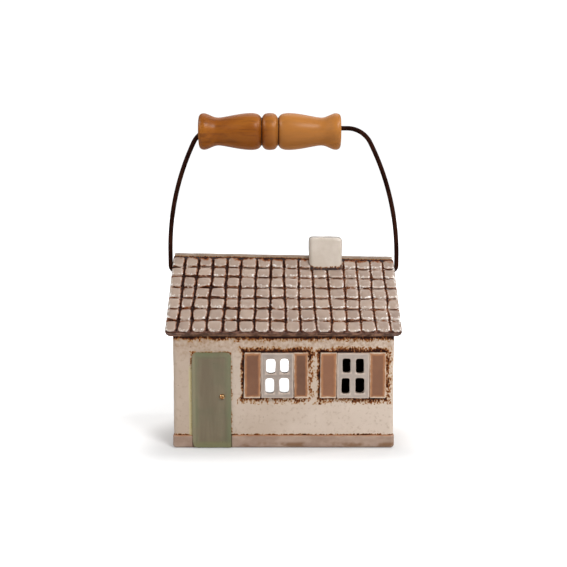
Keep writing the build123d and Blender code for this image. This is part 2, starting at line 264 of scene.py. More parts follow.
def rod(name, radius, start, end, sides=48):
    """Round bar between two points, used as a drill."""
    clear()
    line = Vector(end) - Vector(start)
    bpy.ops.mesh.primitive_cylinder_add(vertices=sides, radius=radius, depth=line.length)
    piece = named(name)
    piece.location = (Vector(start) + Vector(end)) / 2
    piece.rotation_mode = "QUATERNION"
    piece.rotation_quaternion = line.to_track_quat("Z", "Y")
    settle(piece)
    return piece


def turned(name, stations, sides):
    """Lathe work on the Z axis: a ring drawn out from station to station, each a distance and a radius."""
    clear()
    along, radius = stations[0]
    bpy.ops.mesh.primitive_circle_add(vertices=sides, radius=radius, location=(0, 0, along))
    piece = named(name)
    settle(piece)
    edit(piece, "VERT")
    bpy.ops.mesh.select_all(action="SELECT")
    for next_along, next_radius in stations[1:]:
        step = {"value": (0, 0, next_along - along)}
        bpy.ops.mesh.extrude_region_move(TRANSFORM_OT_translate=step)
        growth = next_radius / radius
        bpy.ops.transform.resize(value=(growth, growth, 1), center_override=(0, 0, next_along))
        along, radius = next_along, next_radius
    bpy.ops.mesh.select_all(action="SELECT")
    bpy.ops.mesh.remove_doubles(threshold=0.00001)
    bpy.ops.mesh.normals_make_consistent(inside=False)
    bpy.ops.object.mode_set(mode="OBJECT")
    return piece


# The solids' main places, read from the frame
wall_low, wall_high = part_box("front_wall")
back_low, back_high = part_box("back_wall")
roof_low, roof_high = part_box("front_roof")
half_width = wall_high.x
half_depth = back_high.y
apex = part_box("left_gable")[1].z
eaves = apex - half_depth * tan(ROOF_PITCH)
floor_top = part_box("floor_slab")[1].z
roof_half = roof_high.x
roof_run = (half_depth + (eaves - roof_low.z) / tan(ROOF_PITCH)) / cos(ROOF_PITCH)
ridge_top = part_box("ridge_roll_left")[1].z
wire_low, wire_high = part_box("bail_wire")
pivot = wire_low.z + WIRE_RADIUS


def lean(piece):
    """Let the upper house fall a little to the right."""
    for point in piece.data.vertices:
        height_share = min(max((point.co.z - eaves) / (ridge_top - eaves), 0), 1)
        point.co.z -= LEAN_SHARE * point.co.x * height_share


def gabled(name, half_x, half_y, bottom, shoulder, top):
    """Block with a pitched top, from one block split along its middle and drawn up there."""
    piece = block(name, (-half_x, -half_y, bottom), (half_x, half_y, shoulder))
    edit(piece, "VERT")
    bpy.ops.mesh.select_all(action="SELECT")
    bpy.ops.mesh.bisect(plane_co=(0, 0, 0), plane_no=(0, 1, 0))
    bpy.ops.mesh.select_all(action="DESELECT")
    bpy.ops.object.mode_set(mode="OBJECT")
    for point in piece.data.vertices:
        point.select = abs(point.co.y) < 1e-6 and point.co.z > bottom + 1e-6
    bpy.ops.object.mode_set(mode="EDIT")
    bpy.ops.transform.translate(value=(0, 0, top - shoulder))
    bpy.ops.object.mode_set(mode="OBJECT")
    return piece


def pane_cutter(name, pane, margin, front, back):
    """Soft-cornered plug that cuts one pane."""
    left, right, bottom, top = (value * MM for value in pane)
    low = (left - margin, front, bottom - margin)
    high = (right + margin, back, top + margin)
    plug = block(name, low, high)
    rounding = LEFT_PANE_ROUNDING if pane in LEFT_PANES else RIGHT_PANE_ROUNDING
    round_edges(plug, rounding, 3, along_y)
    return plug


def make_walls():
    """Front, back and gables in one skin, pierced by panes, the back arch and the wire's holes."""
    walls = gabled("walls", half_width, half_depth, floor_top - EMBED, eaves, apex)
    round_edges(walls, UPRIGHT_ROUNDING, 4, upright)
    inner_half_x = half_width - WALL_THICKNESS
    inner_half_y = half_depth - WALL_THICKNESS
    inner_top = apex - WALL_THICKNESS / cos(ROOF_PITCH)
    inner_eaves = inner_top - inner_half_y * tan(ROOF_PITCH)
    room = gabled("room", inner_half_x, inner_half_y, floor_top - 5 * EMBED, inner_eaves, inner_top)
    cut(walls, room)
    lean(walls)
    front = wall_low.y - 5 * MM
    for pane in LEFT_PANES + RIGHT_PANES:
        cut(walls, pane_cutter("pane_plug", pane, 0.5 * MM, front, wall_high.y + EMBED))
    inside_y = back_low.y - EMBED
    outside_y = back_high.y + EMBED
    outside_x = half_width + EMBED
    cut(walls, block("doorway", (-ARCH_HALF_WIDTH, inside_y, 0), (ARCH_HALF_WIDTH, outside_y, ARCH_SPRING)))
    cut(walls, rod("arch", ARCH_HALF_WIDTH, (0, inside_y, ARCH_SPRING), (0, outside_y, ARCH_SPRING), 64))
    cut(walls, rod("wire_drill", WIRE_RADIUS + 0.5 * MM, (-outside_x, 0, pivot), (outside_x, 0, pivot)))
    soften(walls, voxel=1.0 * MM, rounds=5, lump_height=0.5 * MM, lump_size=14 * MM)
    return walls


def column_lines(parts, half):
    """Places of the lines between columns, from the columns' widths."""
    total = sum(parts)
    lines = [-half]
    for part in parts:
        lines.append(lines[-1] + 2 * half * part / total)
    return lines


def number_tiles(mesh, crossings, shoulder_points):
    """Give each point its place in columns and courses: whole numbers on the lines between the tiles."""
    column_data = mesh.attributes.new("column", "FLOAT", "POINT").data
    course_data = mesh.attributes.new("course", "FLOAT", "POINT").data
    for index, point in enumerate(mesh.vertices):
        reach = 0
        if index >= len(crossings):
            reach = GROOVE_HALF_WIDTH / TILE_SPACING
        if index >= shoulder_points:
            reach += TILE_ROUNDING / TILE_SPACING
        gaps = [(point.co.xy - crossing.xy).length for crossing in crossings]
        nearest = gaps.index(min(gaps))
        step = point.co - crossings[nearest]
        column = nearest % (COLUMNS + 1)
        course = COURSES - nearest // (COLUMNS + 1)
        column_data[index].value = column + (reach if step.x > 0 else -reach)
        course_data[index].value = course + (reach if step.y < 0 else -reach)


def round_eave_corners(mesh):
    """Draw the slab's lower edge in at both ends of the eave, as if round a corner."""
    start = roof_half - CORNER_LENGTH
    for point in mesh.vertices:
        drop = CORNER_RADIUS - point.co.z
        from_eave = point.co.y + roof_run
        if drop <= 0 or from_eave > CORNER_LENGTH or abs(point.co.x) < start:
            continue
        inset = CORNER_RADIUS - sqrt(max(CORNER_RADIUS**2 - drop**2, 0))
        inset *= 1 - max(from_eave, 0) / CORNER_LENGTH
        out = (abs(point.co.x) - start) * (1 - inset / CORNER_LENGTH)
        point.co.x = (start + out) * (1 if point.co.x > 0 else -1)


def lay_lines(mesh, ridge_parts, eave_parts, draw):
    """Move a grid's points to where the lines between the tiles cross."""
    ridge_lines = column_lines(ridge_parts, roof_half)
    eave_lines = column_lines(eave_parts, roof_half + EAVE_FLARE)
    for point in mesh.vertices:
        column = round((point.co.x + 0.5) * COLUMNS)
        course = round((0.5 - point.co.y) * COURSES)
        share = COURSE_END_SHARES[course]
        across = ridge_lines[column] * (1 - share) + eave_lines[column] * share
        down = roof_run - (1 - share) * TILED_RUN
        if 0 < column < COLUMNS:
            across += draw.uniform(-COLUMN_STRAY, COLUMN_STRAY)
        if 0 < course < COURSES:
            down += draw.uniform(-COURSE_STRAY, COURSE_STRAY)
        if course == 0:
            down = -ROOF_BASE * tan(ROOF_PITCH)
        drop = EAVE_DROP if course == COURSES else VERGE_DROP if column in (0, COLUMNS) else GROOVE_DROP
        point.co = (across, -down, ROOF_BASE - drop)


def tilt_tiles(mesh, draw):
    """Lift each picked tile, most at its nose, and let the noses stray except along the eave."""
    last_course = -roof_run + 8 * MM
    for face in mesh.polygons:
        if not face.select:
            continue
        slip = draw.uniform(-NOSE_SLIP, NOSE_SLIP)
        swing = draw.uniform(-NOSE_SWING, NOSE_SWING)
        lift = draw.uniform(LOWEST_LIFT, HIGHEST_LIFT)
        roll = draw.uniform(-TILE_ROLL, TILE_ROLL)
        middle = face.center.copy()
        for index in face.vertices:
            co = mesh.vertices[index].co
            offset = co.x - middle.x
            co.z = ROOF_BASE + lift + roll * offset
            if co.y < middle.y:
                co.z += TILE_NOSE_RISE
                if middle.y > last_course:
                    co.y += slip + swing * offset - NOSE_LAP
            else:
                co.z += TILE_HEAD_RISE


def fray(mesh, seed):
    """Push the skin about, most of all along the lines between the tiles."""
    noise.seed_set(seed)
    border = 0.3 * MM
    columns = mesh.attributes["column"].data
    courses = mesh.attributes["course"].data
    for point, column, course in zip(mesh.vertices, columns, courses):
        if abs(point.co.x) < roof_half - border and -roof_run + border < point.co.y < -MM:
            off_line = min(abs(value - round(value)) for value in (column.value, course.value))
            push = noise.noise_vector(point.co / (1.7 * MM) + Vector((seed, 0, 0)))
            point.co += push * RAGGED * (1 if off_line < 0.12 else 0.3)


def close_slab(roof):
    """Draw the sheet's border down to a square-cut edge and close it below."""
    mesh = roof.data
    pick_edges(roof, lambda middle, direction: False)
    bpy.ops.mesh.select_non_manifold()
    bpy.ops.mesh.extrude_region_move(TRANSFORM_OT_translate={"value": (0, 0, -0.4 * MM)})
    for level in (1.7 * MM, 0.5 * MM):
        bpy.ops.mesh.extrude_region_move(TRANSFORM_OT_translate={"value": (0, 0, -0.6 * MM)})
        bpy.ops.object.mode_set(mode="OBJECT")
        for point in mesh.vertices:
            if point.select:
                point.co.z = level
                if point.co.y > 0:
                    point.co.y = level * tan(ROOF_PITCH)
        bpy.ops.object.mode_set(mode="EDIT")
    bpy.ops.mesh.extrude_region_move(TRANSFORM_OT_translate={"value": (0, 0, -0.5 * MM)})
    shrink = ((roof_half - 0.4 * MM) / roof_half, (roof_run - 0.4 * MM) / roof_run, 1)
    bpy.ops.transform.resize(value=shrink, center_override=(0, 0, 0))
    bpy.ops.mesh.edge_face_add()
    bpy.ops.mesh.select_all(action="SELECT")
    bpy.ops.mesh.normals_make_consistent(inside=False)
    bpy.ops.object.mode_set(mode="OBJECT")


def make_roof(name, ridge_parts, eave_parts, turn, seed):
    """One slope: hand-pressed tiles, each inset, lifted at its nose and crowned, on a square-cut slab."""
    draw = random.Random(seed)
    clear()
    bpy.ops.mesh.primitive_grid_add(x_subdivisions=COLUMNS, y_subdivisions=COURSES, size=1)
    roof = named(name)
    mesh = roof.data
    lay_lines(mesh, ridge_parts, eave_parts, draw)
    crossings = [point.co.copy() for point in mesh.vertices]
    edit(roof, "FACE")
    bpy.ops.mesh.select_all(action="SELECT")
    bpy.ops.mesh.inset(thickness=GROOVE_HALF_WIDTH, use_individual=True)
    bpy.ops.object.mode_set(mode="OBJECT")
    shoulder_points = len(mesh.vertices)
    tilt_tiles(mesh, draw)
    bpy.ops.object.mode_set(mode="EDIT")
    bpy.ops.mesh.inset(thickness=TILE_ROUNDING, depth=TILE_CROWN, use_individual=True)
    bpy.ops.object.mode_set(mode="OBJECT")
    number_tiles(mesh, crossings, shoulder_points)
    edit(roof, "FACE")
    bpy.ops.mesh.select_all(action="SELECT")
    bpy.ops.mesh.subdivide(number_cuts=2)
    bpy.ops.object.mode_set(mode="OBJECT")
    apply(roof, "SUBSURF", levels=1, render_levels=1, boundary_smooth="PRESERVE_CORNERS")
    fray(mesh, seed)
    close_slab(roof)
    bpy.ops.object.shade_smooth_by_angle(angle=radians(50))
    round_eave_corners(mesh)
    roof.rotation_euler = (ROOF_PITCH, 0, 0)
    roof.location = (0, 0, apex)
    settle(roof)
    roof.rotation_euler = (0, 0, turn)
    settle(roof)
    lean(roof)
    return roof


def make_ridge():
    """Strip of clay along the ridge, on both sides of the chimney."""
    left_low, left_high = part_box("ridge_roll_left")
    right_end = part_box("ridge_roll_right")[1].x
    skirt = 1.2 * MM
    top = left_high.z
    strip = block("ridge_strip", left_low - Vector((0, 0, skirt)), (right_end, left_high.y, top))
    round_edges(strip, 1.3 * MM, 3, lambda middle, direction: abs(direction.x) > 0.9 and middle.z > top - MM)
    soften(strip, voxel=0.5 * MM, rounds=4, lump_height=0.45 * MM, lump_size=11 * MM)
    lean(strip)
    return strip


def make_chimney():
    """Rounded block astride the ridge, with a flue."""
    low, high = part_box("chimney")
    spare = Vector((0.35, 0.0, 0.3)) * MM
    stack = block("chimney_stack", low - Vector((spare.x, 0, 0)), high + spare)
    round_edges(stack, 2.8 * MM, 4, upright)
    round_edges(stack, 1.9 * MM, 4, lambda middle, direction: middle.z > high.z - 0.1 * MM)
    middle_x = (low.x + high.x) / 2
    cut(stack, rod("flue", 3.5 * MM, (middle_x, 0, low.z - EMBED), (middle_x, 0, high.z + EMBED)))
    for point in stack.data.vertices:
        spread_share = (point.co.z - low.z) / (high.z - low.z)
        point.co.x += (point.co.x - middle_x) * 0.03 * (spread_share - 1)
    soften(stack, voxel=0.6 * MM, rounds=7, lump_height=0.6 * MM, lump_size=8 * MM)
    lean(stack)
    return stack


def make_door():
    """Slab with softly raised rims, laid on the wall."""
    low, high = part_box("door")
    low.x += DOOR_INSET
    slab = block("door_slab", low, high + Vector((0, EMBED, 0)))
    at_foot_right = Vector((high.x, 0, low.z))
    round_edges(slab, 2.2 * MM, 4, lambda middle, direction: along_y(middle, direction)
                and (middle.xz - at_foot_right.xz).length > MM)
    pick_faces(slab, lambda middle, normal: normal.y < -0.9)
    bpy.ops.mesh.inset(thickness=2.6 * MM)
    bpy.ops.mesh.inset(thickness=0.8 * MM, depth=-0.35 * MM)
    soften(slab, voxel=0.42 * MM, rounds=5, lump_height=0.3 * MM, lump_size=7 * MM)
    return slab


def make_knob():
    """Blob of gold lustre on the door."""
    low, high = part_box("door_knob")
    clear()
    bpy.ops.mesh.primitive_ico_sphere_add(subdivisions=4, radius=0.5)
    knob = named("gold_knob")
    knob.location = ((low.x + high.x) / 2, high.y, (low.z + high.z) / 2)
    knob.scale = (high.x - low.x, 2 * (high.y - low.y), high.z - low.z)
    settle(knob)
    lumpy(knob, 0.35 * MM, 1.6 * MM)
    bpy.ops.object.shade_smooth()
    return knob


def make_window(name, node, panes):
    """Frame with four soft panes cut through it."""
    low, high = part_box(node)
    window = block(name, low, high + Vector((0, EMBED, 0)))
    for pane in panes:
        cut(window, pane_cutter("pane_plug", pane, 0.0, low.y - EMBED, high.y + 2 * EMBED))
    soften(window, voxel=0.36 * MM, rounds=5, lump_height=0.35 * MM, lump_size=5 * MM)
    return window


def make_shutter(node, taper):
    """Brown slab beside a window, not quite square."""
    low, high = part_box(node)
    shutter = block(node + "_slab", low, high + Vector((0, EMBED, 0)))
    middle = (low + high) / 2
    for point in shutter.data.vertices:
        height_share = (point.co.z - middle.z) / (high.z - low.z)
        point.co.x += taper * MM * height_share
    pick_faces(shutter, lambda centre, normal: normal.y < -0.9)
    bpy.ops.mesh.inset(thickness=0.7 * MM)
    bpy.ops.mesh.inset(thickness=0.6 * MM, depth=-0.22 * MM)
    soften(shutter, voxel=0.4 * MM, rounds=4, lump_height=0.35 * MM, lump_size=6 * MM)
    return shutter


def make_plinth():
    """Band round the foot of the walls, open at the door and at the back."""
    left_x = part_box("plinth_left_side")[0].x
    front_low, front_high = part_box("plinth_front_right")
    low = Vector((left_x, front_low.y, front_low.z))
    high = Vector((-low.x, -low.y, front_high.z))
    band = block("plinth_band", low, high)
    round_edges(band, UPRIGHT_ROUNDING, 4, upright)
    round_edges(band, 1.0 * MM, 3, lambda middle, direction: middle.z < low.z + 0.1 * MM)
    inset = Vector((3, 3, 0)) * MM
    below = Vector((0, 0, EMBED))
    cut(band, block("plinth_room", low + inset - below, high - inset + below))
    door_low, door_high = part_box("door")
    door_low.x += DOOR_INSET
    gap = Vector((0.1, 5, 5)) * MM
    cut(band, block("door_gap", door_low - gap, door_high + gap))
    arch_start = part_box("plinth_back_left")[1].x
    arch_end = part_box("plinth_back_right")[0].x
    cut(band, block("back_gap", (arch_start, 0, low.z - EMBED), (arch_end, high.y + EMBED, high.z + EMBED)))
    soften(band, voxel=0.55 * MM, rounds=4, lump_height=0.4 * MM, lump_size=10 * MM)
    return band


def swung(arm, angle):
    """A flat vector turned by an angle."""
    return Vector((arm.x * cos(angle) - arm.y * sin(angle), arm.x * sin(angle) + arm.y * cos(angle)))


def bend(start, heading, radius, turn):
    """End point and heading of an arc, with the two handles that draw it as one curve."""
    swing = radians(turn)
    side = 1 if turn > 0 else -1
    centre = start + side * radius * Vector((-heading.y, heading.x))
    end = centre + swung(start - centre, swing)
    end_heading = swung(heading, swing)
    reach = 4 / 3 * tan(abs(swing) / 4) * radius
    return end, end_heading, start + heading * reach, end - end_heading * reach


def make_wire():
    """Bail bent from one length of wire: top run, shoulders, long legs, and feet turned into the gables."""
    top = wire_high.z - WIRE_RADIUS
    leg_x = wire_high.x - WIRE_RADIUS
    top_half = 40 * MM
    shoulder_radius = 15.7 * MM
    foot_radius = 3.6 * MM
    ankle_top = pivot + foot_radius + 7.3 * MM
    pin_end = half_width - WALL_THICKNESS - 4 * MM
    span = leg_x - top_half
    fall = top - shoulder_radius - ankle_top
    leg_radius = (span**2 + fall**2 - shoulder_radius**2) / (2 * (span - shoulder_radius))
    shoulder_turn = 180 / pi * atan2(leg_radius - span, fall)
    knots = [Vector((0, top))]
    handles = []

    def straight(end):
        start = knots[-1]
        handles.append((start.lerp(end, 1 / 3), start.lerp(end, 2 / 3)))
        knots.append(end)

    straight(Vector((top_half, top)))
    heading = Vector((1, 0))
    for radius, turn in ((shoulder_radius, -shoulder_turn), (leg_radius, shoulder_turn - 90)):
        end, heading, leave, arrive = bend(knots[-1], heading, radius, turn)
        handles.append((leave, arrive))
        knots.append(end)
    straight(Vector((leg_x, pivot + foot_radius)))
    end, heading, leave, arrive = bend(knots[-1], Vector((0, -1)), foot_radius, -90)
    handles.append((leave, arrive))
    knots.append(end)
    straight(Vector((pin_end, pivot)))
    clear()
    bpy.ops.curve.primitive_bezier_curve_add()
    wire = named("bent_wire")
    line = wire.data.splines[0]
    count = 2 * len(knots) - 1
    line.bezier_points.add(count - 2)
    middle = len(knots) - 1
    flip = Vector((-1, 1))
    for place in range(count):
        step = place - middle
        side = 1 if step >= 0 else -1
        mirrored = Vector((side, 1))
        knot = knots[abs(step)] * mirrored
        inward = handles[abs(step) - 1][1] * mirrored if step else handles[0][0] * flip
        outward = handles[abs(step)][0] * mirrored if abs(step) < middle else knot
        before, after = (inward, outward) if step >= 0 else (outward, inward)
        point = line.bezier_points[place]
        point.handle_left_type = "FREE"
        point.handle_right_type = "FREE"
        point.co = (knot.x, 0, knot.y)
        point.handle_left = (before.x, 0, before.y)
        point.handle_right = (after.x, 0, after.y)
    wire.data.dimensions = "3D"
    wire.data.resolution_u = 20
    wire.data.bevel_depth = WIRE_RADIUS
    wire.data.bevel_resolution = 5
    wire.data.use_fill_caps = True
    wire.location = (0, 0, 0)
    wire.rotation_euler = (0, 0, 0)
    take(wire)
    bpy.ops.object.convert(target="MESH")
    wire = bpy.context.object
    for point in wire.data.vertices:
        point.co.x -= BAIL_LEAN * max(point.co.z - ankle_top, 0) / (top - ankle_top)
    bpy.ops.object.shade_smooth_by_angle(angle=radians(50))
    return wire


def make_grip():
    """Grip turned on a lathe, bored through, its mouths opened to clear the wire."""
    low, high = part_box("wooden_grip")
    bore = 3.6
    mouth = 6.24
    half = GRIP_STATIONS[-1][0]
    right_half = list(GRIP_STATIONS)
    left_half = [(-along, radius) for along, radius in reversed(right_half[1:])]
    outside = left_half + right_half
    mouth_depth = mouth - bore
    half *= GRIP_LENGTH_SHARE
    inside = [
        (half - 0.2, mouth + 0.5),
        (half - 0.9, mouth - 0.4),
        (half - mouth_depth, bore),
        (half - 12, bore),
    ]
    inside += [(-along, radius) for along, radius in reversed(inside)]
    outside = [(along * GRIP_LENGTH_SHARE, radius * GRIP_RADIUS_SHARE) for along, radius in outside]
    loop = [(along * MM, radius * MM) for along, radius in outside + inside + outside[:1]]
    grip = turned("turned_grip", loop, 56)
    apply(grip, "SUBSURF", levels=1, render_levels=1)
    grip.rotation_euler = (0, pi / 2, 0)
    grip.location = (low + high) / 2 - Vector((GRIP_SHIFT, 0, 0))
    settle(grip)
    bpy.ops.object.shade_smooth()
    return grip


def make_cup():
    """Pressed foil cup with a crimped side and a rolled rim."""
    low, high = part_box("tealight_cup")
    height = high.z - low.z
    rim = high.x
    side = rim - 0.7 * MM
    foot = side - 0.5 * MM
    wall = 0.4 * MM
    stations = [
        (0.0, 0.4 * MM),
        (0.0, foot - 1.2 * MM),
        (0.15 * MM, foot - 0.5 * MM),
        (0.7 * MM, foot),
        (2.0 * MM, foot + 0.1 * MM),
        (height - 2.2 * MM, side - 0.05 * MM),
        (height - 1.2 * MM, side),
        (height - 0.7 * MM, rim - 0.15 * MM),
        (height - 0.35 * MM, rim),
        (height - 0.05 * MM, rim - 0.25 * MM),
        (height, rim - 0.6 * MM),
        (height - 0.5 * MM, side - wall),
        (height - 2.2 * MM, side - wall),
        (1.0 * MM, foot - wall),
        (wall, foot - 1.2 * MM),
        (wall, 0.4 * MM),
        (0.0, 0.4 * MM),
    ]
    cup = turned("foil_cup", stations, 144)
    for point in cup.data.vertices:
        crimped = 1 * MM < point.co.z < height - 1.3 * MM
        around = atan2(point.co.y, point.co.x)
        if crimped and point.co.xy.length > foot - 0.2 * MM:
            point.co.xy *= 1 - 0.006 * (1 + cos(36 * around))
    apply(cup, "SUBSURF", levels=1, render_levels=1)
    cup.location = ((low.x + high.x) / 2, (low.y + high.y) / 2, low.z)
    settle(cup)
    bpy.ops.object.shade_smooth()
    return cup


def make_wax():
    """Cast wax with a raised skirt at the cup and a dip round the wick."""
    low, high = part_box("tealight_wax")
    radius = high.x
    foot = radius - 0.45 * MM
    height = high.z - low.z
    hole = 0.8 * MM
    stations = [
        (0.0, hole),
        (0.0, foot - 0.4 * MM),
        (0.5 * MM, foot),
        (height - 0.4 * MM, radius - 0.1 * MM),
        (height, radius - 0.3 * MM),
        (height - 0.35 * MM, radius - 1.1 * MM),
        (height - 0.5 * MM, radius - 3 * MM),
        (height - 0.55 * MM, 0.4 * radius),
        (height - 0.85 * MM, 4 * MM),
        (height - 0.75 * MM, 1.6 * MM),
        (height - 0.5 * MM, hole),
        (0.0, hole),
    ]
    wax = turned("cast_wax", stations, 64)
    apply(wax, "SUBSURF", levels=1, render_levels=1)
    wax.location = ((low.x + high.x) / 2, (low.y + high.y) / 2, low.z)
    settle(wax)
    bpy.ops.object.shade_smooth()
    return wax


def tint(red, green, blue):
    """Screen colour from 0 to 255, as the shader wants it."""
    shares = [value / 255 for value in (red, green, blue)]
    linear = [share / 12.92 if share < 0.04045 else ((share + 0.055) / 1.055) ** 2.4 for share in shares]
    return (*linear, 1.0)


class Finish:
    """A finish in the making: each call adds shader nodes and hands back what they give out."""

    def __init__(self, name):
        self.material = bpy.data.materials.new(name)
        self.material.use_nodes = True
        self.tree = self.material.node_tree
        self.shader = next(node for node in self.tree.nodes if node.type == "BSDF_PRINCIPLED")
        self.place = self.node("ShaderNodeTexCoord").outputs["Object"]
        split = self.node("ShaderNodeSeparateXYZ", {0: self.place})
        self.x, self.y, self.z = split.outputs

    def node(self, kind, inputs=None, **settings):
        made = self.tree.nodes.new(kind)
        for key, value in settings.items():
            setattr(made, key, value)
        for key, value in (inputs or {}).items():
            self.feed(made.inputs[key], value)
        return made

    def feed(self, socket, value):
        if isinstance(value, bpy.types.NodeSocket):
            self.tree.links.new(value, socket)
        else:
            socket.default_value = value

    def sum(self, operation, *values):
        """One step of arithmetic."""
        return self.node("ShaderNodeMath", dict(enumerate(values)), operation=operation).outputs[0]

    def plus(self, first, second):
        return self.sum("ADD", first, second)

    def minus(self, first, second):
        return self.sum("SUBTRACT", first, second)

    def times(self, first, second):
        return self.sum("MULTIPLY", first, second)

    def scaled(self, value, scale, shift):
        """The value times the scale, plus the shift."""
        return self.sum("MULTIPLY_ADD", value, scale, shift)

    def unsigned(self, value):
        return self.sum("ABSOLUTE", value)

    def span(self, across, up):
        """Straight distance over two square steps."""
        return self.sum("SQRT", self.plus(self.times(across, across), self.times(up, up)))

    def most(self, *values):
        """The largest of several values."""
        largest = values[0]
        for value in values[1:]:
            largest = self.sum("MAXIMUM", largest, value)
        return largest

    def clouds(self, size, detail=4.0, roughness=0.55, stretch=(1, 1, 1), shift=(0, 0, 0)):
        """Clouds whose lumps have this size."""
        inputs = {"Vector": self.place, "Scale": stretch, "Location": shift}
        laid = self.node("ShaderNodeMapping", inputs).outputs[0]
        inputs = {"Vector": laid, "Scale": 1 / size, "Detail": detail, "Roughness": roughness}
        return self.node("ShaderNodeTexNoise", inputs).outputs[0]

    def specks(self, size):
        """Distance to the nearest of scattered dots, as a share of their spacing."""
        inputs = {"Vector": self.place, "Scale": 1 / size}
        return self.node("ShaderNodeTexVoronoi", inputs).outputs["Distance"]

    def ease(self, value, low, high):
        """0 at low, 1 at high, smooth between."""
        inputs = {"Value": value, "From Min": low, "From Max": high}
        return self.node("ShaderNodeMapRange", inputs, interpolation_type="SMOOTHSTEP").outputs[0]

    def blend(self, share, under, over):
        """One colour over another."""
        made = self.node("ShaderNodeMix", {0: share, 6: under, 7: over}, data_type="RGBA")
        return made.outputs[2]

    def outside(self, low, high):
        """How far a place is outside a panel on the front, negative inside it."""
        sides = []
        for value, start, end in ((self.x, low.x, high.x), (self.z, low.z, high.z)):
            offset = self.unsigned(self.minus(value, (start + end) / 2))
            sides.append(self.minus(offset, (end - start) / 2))
        return self.most(*sides)

    def near(self, distance, reach):
        """1 at an edge and inside it, falling to 0 at its reach."""
        inputs = {"Value": distance, "From Min": 0.0, "From Max": reach, "To Min": 1.0, "To Max": 0.0}
        return self.node("ShaderNodeMapRange", inputs).outputs[0]

    def done(self, colour, roughness, bump=None, bump_height=0.0, **sockets):
        """Join colour, gloss and relief to the shader, and set its other sockets."""
        self.feed(self.shader.inputs["Base Color"], colour)
        self.feed(self.shader.inputs["Roughness"], roughness)
        if bump is not None:
            inputs = {"Height": bump, "Strength": 1.0, "Distance": bump_height}
            relief = self.node("ShaderNodeBump", inputs).outputs[0]
            self.feed(self.shader.inputs["Normal"], relief)
            self.feed(self.shader.inputs["Coat Normal"], relief)
        for key, value in sockets.items():
            self.shader.inputs[key.replace("_", " ")].default_value = value
        return self.material


IRON = tint(44, 12, 0)
RUST = tint(138, 68, 16)
OCHRE = tint(192, 146, 82)


def iron_stain(finish, colour, amount, grain=0.9 * MM, stretch=(1, 1, 0.7)):
    """Iron oxide that gathers at edges: a dark core with a spiky border, a rusty rim and an ochre halo."""
    spikes = finish.clouds(grain, 2.0, 0.55, stretch)
    patches = finish.clouds(7 * MM, 2.0)
    ragged = finish.scaled(spikes, 2.0, -1.0)
    uneven = finish.scaled(patches, 1.1, -0.55)
    stain = finish.plus(amount, finish.plus(ragged, uneven))
    inked = finish.times(stain, finish.ease(amount, 0.0, 0.15))
    colour = finish.blend(finish.times(finish.ease(inked, 0.18, 0.4), 0.75), colour, OCHRE)
    colour = finish.blend(finish.times(finish.ease(inked, 0.36, 0.52), 0.92), colour, RUST)
    return finish.blend(finish.ease(inked, 0.55, 0.85), colour, IRON)


def window_stain(finish, low, high):
    """Iron that gathers round one window: widest above and below it, weaker below it and at its right."""
    above = finish.ease(finish.z, high.z - 0.5 * MM, high.z + 0.5 * MM)
    below = finish.ease(finish.z, low.z + 0.5 * MM, low.z - 0.5 * MM)
    level = finish.minus(1.0, finish.most(above, below))
    beside = finish.times(finish.ease(finish.x, low.x + MM, high.x - MM), level)
    edge_gap = finish.scaled(beside, -1.2 * MM, finish.outside(low, high))
    edge_gap = finish.unsigned(edge_gap)
    reach = finish.scaled(above, 1.4 * MM, 2.7 * MM)
    reach = finish.scaled(below, 2.2 * MM, reach)
    reach = finish.scaled(beside, 1.2 * MM, reach)
    strength = finish.scaled(beside, -0.42, 1.02)
    strength = finish.most(strength, finish.times(above, 1.1))
    strength = finish.scaled(below, -0.24, strength)
    return finish.times(finish.near(edge_gap, reach), strength)


